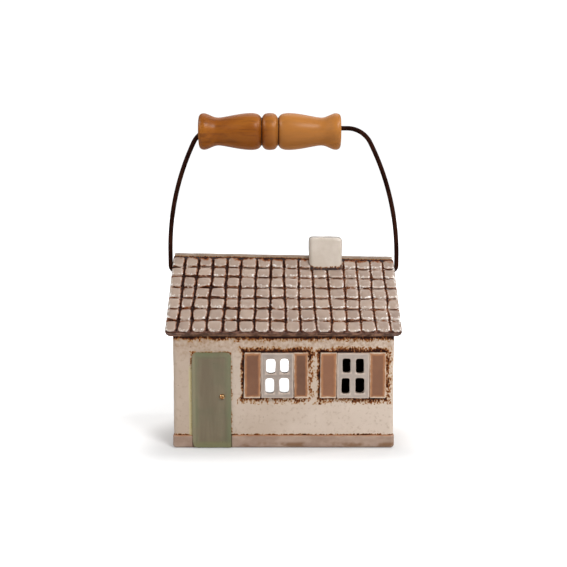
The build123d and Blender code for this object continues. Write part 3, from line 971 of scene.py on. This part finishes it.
def wall_glaze():
    """Cream glaze, stained by iron along every edge, painted lighter to the right as light, warmer under the
    eaves as run-off and painted shade, painted dark inside as shade.
    """
    finish = Finish("wall_glaze")
    mottle = finish.clouds(22 * MM, 4.0)
    fine = finish.clouds(2.2 * MM, 5.0, 0.65)
    # Painted light: the glaze is painted lighter towards the right, as if lit from the right, mixed with a
    # random mottle
    to_right = finish.ease(finish.x, -half_width, half_width)
    shade = finish.scaled(to_right, 0.7, finish.times(finish.ease(mottle, 0.3, 0.7), 0.45))
    colour = finish.blend(shade, tint(205, 184, 165), tint(230, 212, 196))
    colour = finish.blend(finish.times(finish.ease(fine, 0.52, 0.7), 0.35), colour, tint(176, 148, 120))
    left_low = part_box("left_window_left_shutter")[0]
    left_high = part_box("left_window_right_shutter")[1]
    right_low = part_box("right_window_left_shutter")[0]
    right_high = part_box("right_window_right_shutter")[1]
    at_front = finish.ease(finish.y, -half_depth + 3 * MM, -half_depth + 2 * MM)
    at_back = finish.ease(finish.y, half_depth - 3 * MM, half_depth - 2 * MM)
    left_window = window_stain(finish, left_low, left_high)
    right_window = window_stain(finish, right_low, right_high)
    windows = finish.times(finish.most(left_window, right_window), at_front)
    door_low, door_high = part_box("door")
    door_edge = finish.times(finish.near(finish.outside(door_low, door_high), 1.1 * MM), at_front)
    door_edge = finish.times(door_edge, 0.4)
    # Pale strip on the wall just left of the door, below its top: pale glaze and a painted highlight
    from_door = finish.minus(door_low.x + DOOR_INSET, finish.x)
    strip = finish.times(finish.ease(from_door, 2.5 * MM, 1.9 * MM), finish.ease(from_door, -0.4 * MM, 0.0))
    strip = finish.times(strip, finish.ease(finish.z, door_high.z - 6 * MM, door_high.z - 12 * MM))
    strip = finish.times(finish.times(strip, at_front), 0.85)
    depth = finish.unsigned(finish.y)
    roof_line = finish.scaled(depth, -tan(ROOF_PITCH), apex)
    under_roof = finish.times(finish.minus(roof_line, finish.z), cos(ROOF_PITCH))
    eave = finish.times(finish.near(under_roof, 3.6 * MM), 0.8)
    below_slab = finish.minus(roof_low.z - 0.6 * MM, finish.z)
    eave_line = finish.times(finish.near(below_slab, 2.2 * MM), 0.88)
    eave = finish.most(eave, finish.times(eave_line, finish.most(at_front, at_back)))
    plinth_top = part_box("plinth_front_right")[1].z
    foot = finish.times(finish.near(finish.minus(finish.z, plinth_top), 1.2 * MM), 0.75)
    rise = finish.most(finish.minus(finish.z, ARCH_SPRING), 0.0)
    arch = finish.minus(finish.span(finish.x, rise), ARCH_HALF_WIDTH)
    arch_edge = finish.times(finish.times(finish.near(arch, 2.6 * MM), at_back), 0.8)
    hole_rise = finish.minus(finish.z, pivot)
    hole = finish.span(finish.y, hole_rise)
    hole_edge = finish.times(finish.near(finish.minus(hole, 1.6 * MM), 2.5 * MM), 0.8)
    amount = finish.most(windows, door_edge, eave, foot, arch_edge, hole_edge)
    # Warmer and darker under the eaves: glaze run-off and painted shade below the eaves
    eave_runoff_and_shade = finish.times(finish.near(under_roof, 11 * MM), finish.ease(fine, 0.3, 0.65))
    colour = finish.blend(finish.times(eave_runoff_and_shade, 0.8), colour, tint(166, 124, 88))
    colour = iron_stain(finish, colour, amount)
    # The pale strip beside the door: pale glaze and painted highlight
    colour = finish.blend(strip, colour, tint(216, 202, 152))
    pits = finish.sum("LESS_THAN", finish.specks(7 * MM), 0.045)
    colour = finish.blend(finish.times(pits, 0.7), colour, tint(96, 66, 42))
    # Painted shade: the inside of the walls is painted near black-brown for the dark of the room
    inner = Vector((half_width, half_depth, 0)) - Vector((1, 1, 0)) * (WALL_THICKNESS - 0.6 * MM)
    inside_x = finish.sum("LESS_THAN", finish.unsigned(finish.x), inner.x)
    inside_y = finish.sum("LESS_THAN", depth, inner.y)
    inside = finish.times(inside_x, inside_y)
    colour = finish.blend(inside, colour, tint(58, 44, 36))
    bump = finish.plus(fine, finish.times(amount, finish.clouds(1.0 * MM, 4.0)))
    gloss = {"Specular_IOR_Level": 0.1, "Coat_Weight": 0.12, "Coat_Roughness": 0.12}
    return finish.done(colour, finish.ease(fine, 1.1, -0.35), bump, 0.12 * MM, **gloss)


def floor_clay():
    """Unglazed clay of the floor."""
    finish = Finish("floor_clay")
    mottle = finish.clouds(12 * MM, 4.0)
    colour = finish.blend(finish.ease(mottle, 0.3, 0.7), tint(150, 122, 98), tint(176, 148, 122))
    return finish.done(colour, 0.7, finish.clouds(1.2 * MM, 4.0), 0.1 * MM)


def roof_glaze():
    """Grey-pink glaze on the tiles, broken paler at their rims as thin glaze and painted highlight, with
    painted glints and iron in the lines between them.
    """
    finish = Finish("roof_glaze")
    column = finish.node("ShaderNodeAttribute", attribute_name="column").outputs["Fac"]
    course = finish.node("ShaderNodeAttribute", attribute_name="course").outputs["Fac"]
    column_gap = finish.unsigned(finish.minus(column, finish.sum("ROUND", column)))
    below_line = finish.minus(course, finish.sum("ROUND", course))
    from_middle = finish.unsigned(finish.minus(column, COLUMNS / 2))
    between_verges = finish.sum("LESS_THAN", from_middle, COLUMNS / 2 - 0.5)
    above_eave = finish.sum("LESS_THAN", course, COURSES - 0.5)

    mottle = finish.clouds(16 * MM, 4.0)
    fine = finish.clouds(1.6 * MM, 5.0, 0.65)
    tile_column = finish.sum("FLOOR", column)
    tile_course = finish.sum("FLOOR", course)
    tile = finish.node("ShaderNodeCombineXYZ", {0: tile_column, 1: tile_course})
    chance = finish.node("ShaderNodeTexWhiteNoise", {0: tile.outputs[0]}).outputs["Value"]
    shade = finish.scaled(chance, 0.3, finish.ease(mottle, 0.25, 0.95))
    colour = finish.blend(shade, tint(164, 140, 126), tint(202, 178, 160))
    above_line = finish.ease(below_line, 0.02, -0.02)
    nose_rim = finish.times(finish.ease(below_line, -0.24, -0.1), above_line)
    rim = finish.most(finish.ease(column_gap, 0.24, 0.1), nose_rim)
    # Paler rims at the tile sides and noses: glaze breaking thin and painted highlight
    wear_and_sheen = finish.times(rim, finish.ease(finish.clouds(3 * MM, 4.0), 0.35, 0.6))
    colour = finish.blend(finish.times(wear_and_sheen, 0.8), colour, tint(220, 200, 184))
    # Painted glints: near-white spots along the tile edges and at the nose corners
    side = finish.ease(column_gap, 0.2, 0.12)
    nose = finish.times(finish.ease(below_line, -0.28, -0.16), above_line)
    glint_scatter = finish.clouds(1.5 * MM, 2.0)
    corner_glint = finish.times(finish.times(side, nose), finish.ease(glint_scatter, 0.36, 0.48))
    edge_glint = finish.times(finish.most(side, nose), finish.ease(glint_scatter, 0.58, 0.66))
    colour = finish.blend(finish.most(corner_glint, edge_glint), colour, tint(255, 250, 244))

    ragged = finish.scaled(finish.clouds(0.9 * MM, 4.0, 0.65), 0.16, -0.08)
    uneven = finish.scaled(finish.clouds(8 * MM, 3.0), 0.14, -0.06)
    to_right = finish.scaled(finish.ease(finish.x, -roof_half, roof_half), 0.05, -0.025)
    column_line = finish.plus(column_gap, finish.scaled(ragged, 1.5, uneven))
    column_line = finish.plus(column_line, to_right)
    column_line = finish.times(column_line, 0.8)
    column_line = finish.plus(column_line, finish.minus(1.0, between_verges))
    broken = finish.scaled(finish.clouds(5 * MM, 3.0, 0.5, (1, 1, 1), (0.3, 0.1, 0)), 0.36, -0.13)
    course_line = finish.unsigned(finish.minus(below_line, 0.015))
    course_line = finish.plus(course_line, finish.plus(ragged, broken))
    course_line = finish.plus(course_line, to_right)
    course_line = finish.plus(course_line, finish.minus(1.0, above_eave))
    ridge_line = finish.scaled(course, 0.55, -0.185)
    ridge_line = finish.plus(ridge_line, finish.plus(ragged, broken))
    cross_line = finish.sum("MINIMUM", course_line, ridge_line)
    line = finish.sum("MINIMUM", column_line, cross_line)
    core = finish.sum("MINIMUM", column_line, finish.plus(cross_line, 0.01))
    colour = finish.blend(finish.times(finish.ease(line, 0.12, 0.08), 0.7), colour, tint(168, 116, 76))
    colour = finish.blend(finish.times(finish.ease(line, 0.09, 0.06), 0.9), colour, RUST)
    colour = finish.blend(finish.ease(core, 0.065, 0.035), colour, IRON)
    # The eave's cut edge: darker, streaked colour
    scallop = finish.times(finish.ease(column_gap, 0.3, 0.0), 0.07)
    cut_edge = finish.plus(course, finish.scaled(ragged, 0.5, scallop))
    cut_edge = finish.ease(cut_edge, COURSES - 0.07, COURSES - 0.04)
    streaks = finish.clouds(2.4 * MM, 4.0, 0.6, (0.6, 1, 1))
    dark_cut_streaks = finish.blend(finish.ease(streaks, 0.4, 0.66), tint(72, 38, 26), tint(138, 98, 82))
    colour = finish.blend(cut_edge, colour, dark_cut_streaks)
    bump = finish.plus(fine, finish.times(finish.clouds(3 * MM, 2.0), 2.0))
    dull = finish.most(finish.ease(line, 0.1, 0.05), cut_edge)
    finish.feed(finish.shader.inputs["Coat Weight"], finish.scaled(dull, -0.85, 1.0))
    gloss = {"Specular_IOR_Level": 0.15, "Coat_Roughness": 0.06, "Coat_IOR": 1.6}
    return finish.done(colour, 0.5, bump, 0.2 * MM, **gloss)


def roof_edge_glaze():
    """Dark, streaked glaze on the cut edges and the underside of the roof."""
    finish = Finish("roof_edge_glaze")
    streaks = finish.clouds(3 * MM, 5.0, 0.6, (0.5, 1, 1))
    colour = finish.blend(finish.ease(streaks, 0.38, 0.64), tint(74, 40, 24), tint(160, 116, 92))
    colour = finish.blend(finish.ease(finish.clouds(1.2 * MM, 5.0), 0.55, 0.7), colour, tint(54, 24, 12))
    return finish.done(colour, 0.35, streaks, 0.2 * MM, Coat_Weight=0.3, Coat_Roughness=0.1)


def ridge_glaze():
    """Taupe glaze of the ridge strip, stained along its foot."""
    finish = Finish("ridge_glaze")
    mottle = finish.clouds(10 * MM, 4.0)
    colour = finish.blend(finish.ease(mottle, 0.3, 0.7), tint(146, 124, 106), tint(176, 154, 136))
    under = finish.scaled(finish.x, LEAN_SHARE, finish.z)
    amount = finish.near(finish.minus(under, ridge_top - 2.2 * MM), 1.1 * MM)
    colour = iron_stain(finish, colour, amount)
    bump = finish.clouds(3 * MM, 4.0)
    return finish.done(colour, 0.25, bump, 0.15 * MM, Coat_Weight=0.5, Coat_Roughness=0.08)


def chimney_glaze():
    """Pale glaze, stained where the chimney meets the roof, with painted shade in the flue."""
    finish = Finish("chimney_glaze")
    mottle = finish.clouds(12 * MM, 4.0)
    colour = finish.blend(finish.ease(mottle, 0.3, 0.7), tint(218, 203, 187), tint(234, 221, 207))
    depth = finish.unsigned(finish.y)
    roof_top = finish.scaled(depth, -tan(ROOF_PITCH), apex + (ROOF_BASE + 1.0 * MM) / cos(ROOF_PITCH))
    above = finish.times(finish.minus(finish.z, roof_top), cos(ROOF_PITCH))
    colour = iron_stain(finish, colour, finish.near(above, 1.2 * MM))
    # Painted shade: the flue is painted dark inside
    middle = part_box("chimney")
    centre_x = (middle[0].x + middle[1].x) / 2
    across = finish.minus(finish.x, centre_x)
    flue = finish.span(across, finish.y)
    colour = finish.blend(finish.ease(flue, 4.2 * MM, 3.4 * MM), colour, tint(60, 44, 36))
    bump = finish.clouds(5 * MM, 3.0)
    return finish.done(colour, 0.28, bump, 0.15 * MM, Coat_Weight=0.5, Coat_Roughness=0.08)


def door_glaze():
    """Sage green, greener at the rims, with a pale left rim of glaze and painted highlight, and faint
    upright brush marks.
    """
    finish = Finish("door_glaze")
    low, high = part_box("door")
    low.x += DOOR_INSET
    boards = finish.clouds(6 * MM, 4.0, 0.5, (1, 1, 0.12))
    mottle = finish.clouds(14 * MM, 4.0)
    colour = finish.blend(finish.ease(boards, 0.35, 0.65), tint(119, 104, 80), tint(133, 120, 94))
    colour = finish.blend(finish.times(finish.ease(mottle, 0.45, 0.7), 0.5), colour, tint(112, 108, 80))
    inside = finish.times(finish.outside(low, high), -1.0)
    rim = finish.near(inside, 4.2 * MM)
    broken = finish.times(rim, finish.ease(finish.clouds(9 * MM, 3.0), 0.2, 0.62))
    colour = finish.blend(finish.times(broken, 0.95), colour, tint(118, 124, 88))
    # Pale left rim of the door: pooled glaze and painted highlight
    left_rim_glaze_and_highlight = finish.times(finish.ease(finish.minus(finish.x, low.x), 2.4 * MM, 0.8 * MM), 0.6)
    colour = finish.blend(left_rim_glaze_and_highlight, colour, tint(158, 146, 116))
    foot = finish.ease(finish.minus(finish.z, low.z), 4.5 * MM, 2.0 * MM)
    colour = finish.blend(finish.times(foot, 0.6), colour, tint(132, 128, 86))
    pits = finish.sum("LESS_THAN", finish.specks(5 * MM), 0.05)
    colour = finish.blend(finish.times(pits, 0.6), colour, tint(80, 74, 56))
    return finish.done(colour, 0.32, boards, 0.25 * MM, Coat_Weight=0.35, Coat_Roughness=0.1)


def shutter_glaze(node, pale_share):
    """Brown glaze, rubbed to orange and cream along the edges, the cream partly painted highlight."""
    finish = Finish(node + "_glaze")
    low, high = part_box(node)
    mottle = finish.clouds(9 * MM, 4.0)
    colour = finish.blend(finish.ease(mottle, 0.3, 0.7), tint(110, 68, 42), tint(126, 82, 54))
    colour = finish.blend(pale_share, colour, tint(178, 120, 84))
    inside = finish.times(finish.outside(low, high), -1.0)
    wear_and_sheen = finish.scaled(finish.clouds(3 * MM, 4.0), 1.4 * MM, -0.7 * MM)
    edge = finish.plus(inside, wear_and_sheen)
    rubbed = finish.times(finish.ease(edge, 2.1 * MM, 0.9 * MM), 0.8)
    colour = finish.blend(rubbed, colour, tint(192, 130, 84))
    # Cream at the thinnest edges and along the foot: glaze rubbed thin and painted highlight
    thin_edge_and_highlight = finish.times(finish.ease(edge, 0.7 * MM, 0.1 * MM), finish.ease(mottle, 0.25, 0.5))
    foot = finish.plus(finish.minus(finish.z, low.z), wear_and_sheen)
    foot_lip_and_highlight = finish.ease(foot, 1.2 * MM, 0.6 * MM)
    colour = finish.blend(finish.most(thin_edge_and_highlight, foot_lip_and_highlight), colour, tint(230, 206, 182))
    return finish.done(colour, 0.35, mottle, 0.2 * MM, Coat_Weight=0.3, Coat_Roughness=0.1)


def frame_glaze(node, panes, pale_share):
    """Stone-grey glaze, paler at the rims of the frame and its panes as thin glaze and painted highlight,
    with painted shade in the reveals.
    """
    finish = Finish(node + "_glaze")
    low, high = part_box(node)
    mottle = finish.clouds(6 * MM, 4.0)
    colour = finish.blend(finish.ease(mottle, 0.3, 0.7), tint(162, 146, 136), tint(188, 172, 160))
    # Paler over the whole frame by pale_share: painted light on the right frame
    colour = finish.blend(pale_share, colour, tint(216, 200, 188))
    inside = finish.times(finish.outside(low, high), -1.0)
    wear_and_sheen = finish.scaled(finish.clouds(3 * MM, 4.0), 1.2 * MM, -0.6 * MM)
    edge = finish.plus(inside, wear_and_sheen)
    # Pale rims round the frame and its panes, strongest at the panes' feet: thin glaze and painted highlight
    rim = finish.times(finish.ease(edge, 1.2 * MM, 0.1 * MM), 0.8)
    for left, right, bottom, top in panes:
        pane_gap = finish.outside(Vector((left, 0, bottom)) * MM, Vector((right, 0, top)) * MM)
        pane_gap = finish.plus(pane_gap, finish.times(wear_and_sheen, 0.6))
        at_foot = finish.ease(finish.z, (bottom + 1.5) * MM, bottom * MM)
        strength = finish.scaled(at_foot, 0.5, 0.25)
        rim = finish.most(rim, finish.times(finish.ease(pane_gap, 1.1 * MM, 0.1 * MM), strength))
    colour = finish.blend(rim, colour, tint(228, 208, 192))
    # Painted shade: the reveals deep in the frame are painted dark
    painted_reveal_shade = finish.ease(finish.y, low.y + 1.3 * MM, low.y + 2.4 * MM)
    colour = finish.blend(painted_reveal_shade, colour, tint(74, 52, 42))
    return finish.done(colour, 0.3, mottle, 0.2 * MM, Coat_Weight=0.4, Coat_Roughness=0.1)


def plinth_glaze():
    """Grey-brown band with a rusty upper edge and a dirty foot."""
    finish = Finish("plinth_glaze")
    low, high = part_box("plinth_front_right")
    mottle = finish.clouds(12 * MM, 4.0, 0.55, (1, 1, 1.6))
    colour = finish.blend(finish.ease(mottle, 0.3, 0.7), tint(166, 136, 117), tint(190, 162, 143))
    top = finish.minus(high.z, finish.z)
    line = finish.near(top, 1.0 * MM)
    broken = finish.plus(line, finish.scaled(finish.clouds(1.5 * MM, 5.0), 0.8, -0.4))
    colour = finish.blend(finish.times(finish.ease(broken, 0.4, 0.8), 0.7), colour, tint(190, 128, 84))
    foot_rise = finish.unsigned(finish.minus(finish.z, low.z + 1.8 * MM))
    foot = finish.ease(foot_rise, 2.2 * MM, 0.3 * MM)
    dirty = finish.times(foot, finish.ease(finish.clouds(11 * MM, 3.0, 0.6, (0.7, 1, 1)), 0.46, 0.6))
    colour = finish.blend(finish.times(dirty, 0.85), colour, tint(132, 92, 54))
    return finish.done(colour, 0.35, mottle, 0.2 * MM, Coat_Weight=0.3, Coat_Roughness=0.1)


def gold_lustre():
    """Worn gold."""
    finish = Finish("gold_lustre")
    wear = finish.clouds(0.8 * MM, 4.0)
    colour = finish.blend(finish.ease(wear, 0.4, 0.65), tint(164, 98, 50), tint(236, 206, 150))
    return finish.done(colour, finish.ease(wear, -0.2, 2.2), wear, 0.1 * MM, Metallic=0.85)


def black_wire():
    """Blackened iron with a brown cast."""
    finish = Finish("blackened_wire")
    scale = finish.clouds(4 * MM, 5.0, 0.6, (1, 1, 0.4))
    colour = finish.blend(finish.ease(scale, 0.35, 0.65), tint(32, 12, 6), tint(56, 28, 18))
    return finish.done(colour, finish.ease(scale, -0.6, 1.4), scale, 0.12 * MM, Specular_IOR_Level=0.03)


def varnished_wood():
    """Honey-coloured wood with long grain, lighter on its right half as wood tone and painted light, with
    painted shade below its axis, darker in the grooves and the bore.
    """
    finish = Finish("varnished_wood")
    warp = finish.clouds(14 * MM, 2.0, 0.5, (0.3, 1, 1))
    grain = finish.clouds(2.2 * MM, 6.0, 0.6, (0.06, 1, 1))
    fibres = finish.clouds(0.6 * MM, 3.0, 0.6, (0.03, 1, 1))
    colour = finish.blend(finish.ease(warp, 0.3, 0.7), tint(150, 80, 14), tint(184, 110, 30))
    colour = finish.blend(finish.times(finish.ease(grain, 0.48, 0.68), 0.55), colour, tint(112, 58, 16))
    colour = finish.blend(finish.times(finish.ease(fibres, 0.55, 0.75), 0.35), colour, tint(98, 50, 14))
    low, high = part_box("wooden_grip")
    middle = (low + high) / 2
    # Lighter on the right half: wood tone and painted light from the right
    right_half = finish.ease(finish.x, middle.x - 6 * MM, middle.x + 8 * MM)
    colour = finish.blend(finish.times(right_half, 0.6), colour, tint(212, 142, 70))
    # Painted shade: darker below the grip's axis
    lower = finish.ease(finish.z, middle.z + 1 * MM, middle.z - 8 * MM)
    colour = finish.blend(finish.times(lower, 0.22), colour, tint(112, 60, 22))
    along = finish.unsigned(finish.minus(finish.x, middle.x))
    from_groove = finish.unsigned(finish.minus(along, 5.1 * MM))
    colour = finish.blend(finish.ease(from_groove, 0.6 * MM, 0.15 * MM), colour, tint(66, 34, 14))
    height = finish.minus(finish.z, middle.z)
    radius = finish.span(finish.y, height)
    colour = finish.blend(finish.ease(radius, 6.8 * MM, 5.6 * MM), colour, tint(70, 36, 16))
    gloss = {"Specular_IOR_Level": 0.1, "Coat_Weight": 0.25, "Coat_Roughness": 0.26}
    return finish.done(colour, 0.5, fibres, 0.05 * MM, **gloss)


def cup_foil():
    """Rolled aluminium."""
    finish = Finish("cup_foil")
    rolled = finish.clouds(3 * MM, 4.0, 0.6, (1, 1, 0.2))
    colour = finish.blend(rolled, tint(190, 192, 196), tint(226, 228, 230))
    return finish.done(colour, finish.ease(rolled, -0.5, 2.0), rolled, 0.06 * MM, Metallic=1.0)


def candle_wax():
    """White wax that lets a little light in."""
    finish = Finish("candle_wax")
    mottle = finish.clouds(5 * MM, 4.0)
    colour = finish.blend(finish.ease(mottle, 0.3, 0.7), tint(232, 226, 212), tint(244, 240, 230))
    return finish.done(colour, 0.42, mottle, 0.1 * MM, Subsurface_Weight=0.25, Subsurface_Scale=0.004)


def tab_steel():
    """Steel of the wick's tab."""
    finish = Finish("tab_steel")
    rolled = finish.clouds(1.5 * MM, 4.0)
    colour = finish.blend(rolled, tint(140, 140, 142), tint(180, 180, 182))
    return finish.done(colour, 0.35, rolled, 0.03 * MM, Metallic=1.0)


def wick_cotton():
    """Waxed cotton."""
    finish = Finish("wick_cotton")
    strands = finish.clouds(0.5 * MM, 3.0, 0.5, (1, 1, 0.5))
    colour = finish.blend(finish.ease(strands, 0.4, 0.6), tint(196, 186, 166), tint(232, 226, 212))
    return finish.done(colour, 0.85, strands, 0.1 * MM)


def dress(piece, body, slot, finish, *nodes):
    """Give a piece its finish, the body that it rides on and the solids that it stands for."""
    piece.data.materials.clear()
    piece.data.materials.append(finish)
    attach(piece, body)
    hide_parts(*nodes)


WALL_NODES = ("front_wall", "back_wall", "left_gable", "right_gable")
dress(make_walls(), "house", "wall_glaze", wall_glaze(), *WALL_NODES)
roof_finish = roof_glaze()
edge_finish = roof_edge_glaze()
front_roof = make_roof("front_roof_tiles", RIDGE_COLUMN_PARTS, EAVE_COLUMN_PARTS, 0, 11)
back_roof = make_roof("back_roof_tiles", RIDGE_COLUMN_PARTS[::-1], EAVE_COLUMN_PARTS[::-1], pi, 29)
for roof, node in ((front_roof, "front_roof"), (back_roof, "back_roof")):
    dress(roof, "house", "roof_glaze", roof_finish, node)
    roof.data.materials.append(edge_finish)
    for face in roof.data.polygons:
        slope_up = abs(face.normal.y) * sin(ROOF_PITCH) + face.normal.z * cos(ROOF_PITCH)
        if slope_up < 0.2:
            face.material_index = 1
dress(make_ridge(), "house", "roof_glaze", ridge_glaze(), "ridge_roll_left", "ridge_roll_right")
dress(make_chimney(), "house", "chimney_glaze", chimney_glaze(), "chimney")
dress(make_door(), "house", "door_glaze", door_glaze(), "door")
dress(make_knob(), "house", "gold_lustre", gold_lustre(), "door_knob")
# The right frame is painted paler, as painted light from the right
for side, panes, pale_share in (("left", LEFT_PANES, 0.0), ("right", RIGHT_PANES, 0.35)):
    node = side + "_window_frame"
    window = make_window(side + "_window_bars", node, panes)
    dress(window, "house", "frame_glaze", frame_glaze(node, panes, pale_share), node)
# Each shutter's taper in millimetres, and how pale it is
SHUTTERS = (
    ("left_window_left_shutter", 0.6, 0.18),
    ("left_window_right_shutter", -0.5, 0.0),
    ("right_window_left_shutter", 0.4, 0.5),
    ("right_window_right_shutter", -0.3, 0.32),
)
for node, taper, pale_share in SHUTTERS:
    dress(make_shutter(node, taper), "house", "shutter_glaze", shutter_glaze(node, pale_share), node)
PLINTH_NODES = (
    "plinth_front_left",
    "plinth_front_right",
    "plinth_left_side",
    "plinth_right_side",
    "plinth_back_left",
    "plinth_back_right",
)
dress(make_plinth(), "house", "plinth_glaze", plinth_glaze(), *PLINTH_NODES)
dress(make_wire(), "bail", "blackened_wire", black_wire(), "bail_wire")
dress(make_grip(), "grip", "varnished_wood", varnished_wood(), "wooden_grip")
dress(make_cup(), "tealight", "cup_foil", cup_foil(), "tealight_cup")
dress(make_wax(), "tealight", "candle_wax", candle_wax(), "tealight_wax")
CARRIED_OVER = (("floor_slab", floor_clay()), ("wick_sustainer", tab_steel()), ("wick", wick_cotton()))
for node, material in CARRIED_OVER:
    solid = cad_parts[node]
    solid.data.materials.clear()
    solid.data.materials.append(material)

# Studio lights: place, size, watts, and whether the light only shows as a reflection in the glaze
LIGHTS = (
    ("key_light", (0.6, -0.88, 1.0), 0.45, 9.5, False),
    ("fill_light", (-0.8, -0.9, 0.7), 0.8, 2.0, False),
    ("left_strip", (-1.0, 0.15, 0.85), 0.2, 1.6, False),
    ("right_strip", (1.0, 0.15, 0.85), 0.2, 3.0, False),
    ("back_light", (0.1, 0.8, 1.2), 0.9, 4.0, False),
    ("left_glint", (-1.0, -0.2, 0.9), 0.5, 5.0, True),
    ("right_glint", (1.0, -0.2, 0.9), 0.5, 5.0, True),
)
LIGHT_AIM = Vector((0, 0, 0.07))
SKY_AS_LIGHT = 0.28
SKY_AS_SEEN = 1.05
CAMERA_PLACE = (0, -0.543, 0.152)
CAMERA_DIP = radians(6.23)
CAMERA_LENS = 55.75


def make_floor():
    """Pale floor that glows for the camera, more away from the house: painted light that clears it to white
    and fades the house's shadow.
    """
    clear()
    bpy.ops.mesh.primitive_plane_add(size=8)
    floor = named("studio_floor")
    paint = Finish("studio_paint")
    glow = {"Emission_Color": (1, 1, 1, 1), "Specular_IOR_Level": 0.0}
    floor.data.materials.append(paint.done(tint(228, 228, 228), 0.8, **glow))
    lit = paint.node("ShaderNodeLightPath").outputs["Is Camera Ray"]
    beside = paint.most(paint.minus(paint.unsigned(paint.x), half_width), 0.0)
    beside = paint.times(beside, 1.5)
    before = paint.unsigned(paint.plus(paint.y, 0.028))
    before = paint.most(paint.minus(before, 0.013), 0.0)
    distance = paint.span(beside, before)
    far = paint.node("ShaderNodeVectorMath", {0: paint.place}, operation="LENGTH").outputs["Value"]
    # Painted light: the floor glows for the camera, weakest close to the house's front so its shadow fades
    # within a few centimetres, and clears to white further out
    floor_glow = paint.scaled(paint.ease(distance, 0.0, 0.045), 0.3, 0.19)
    floor_glow = paint.scaled(paint.ease(far, 0.09, 0.26), 0.7, floor_glow)
    paint.feed(paint.shader.inputs["Emission Strength"], paint.times(lit, floor_glow))


def make_lights():
    """Soft light from the front right, with strips and glints for the glaze."""
    for name, place, size, energy, glint_only in LIGHTS:
        clear()
        bpy.ops.object.light_add(type="AREA", location=place)
        light = named(name)
        light.data.size = size
        light.data.energy = energy
        light.visible_diffuse = not glint_only
        light.rotation_euler = (LIGHT_AIM - Vector(place)).to_track_quat("-Z", "Y").to_euler()


def make_sky():
    """White backdrop, weaker as a light than as it is seen."""
    world = bpy.data.worlds.new("studio")
    bpy.context.scene.world = world
    world.use_nodes = True
    tree = world.node_tree
    sky = next(node for node in tree.nodes if node.type == "BACKGROUND")
    sky.inputs["Color"].default_value = (1, 1, 1, 1)
    seen = tree.nodes.new("ShaderNodeLightPath").outputs["Is Camera Ray"]
    level = tree.nodes.new("ShaderNodeMapRange")
    level.inputs["To Min"].default_value = SKY_AS_LIGHT
    level.inputs["To Max"].default_value = SKY_AS_SEEN
    tree.links.new(seen, level.inputs["Value"])
    tree.links.new(level.outputs[0], sky.inputs["Strength"])


def make_camera():
    """Camera where the photograph was taken."""
    clear()
    bpy.ops.object.camera_add(location=CAMERA_PLACE, rotation=(pi / 2 - CAMERA_DIP, 0, 0))
    camera = named("photo_camera")
    camera.data.sensor_width = 36
    camera.data.lens = CAMERA_LENS
    camera.data.clip_start = 0.01
    bpy.context.scene.camera = camera
    bpy.context.scene.view_settings.view_transform = "Standard"


make_floor()
make_lights()
make_sky()
make_camera()
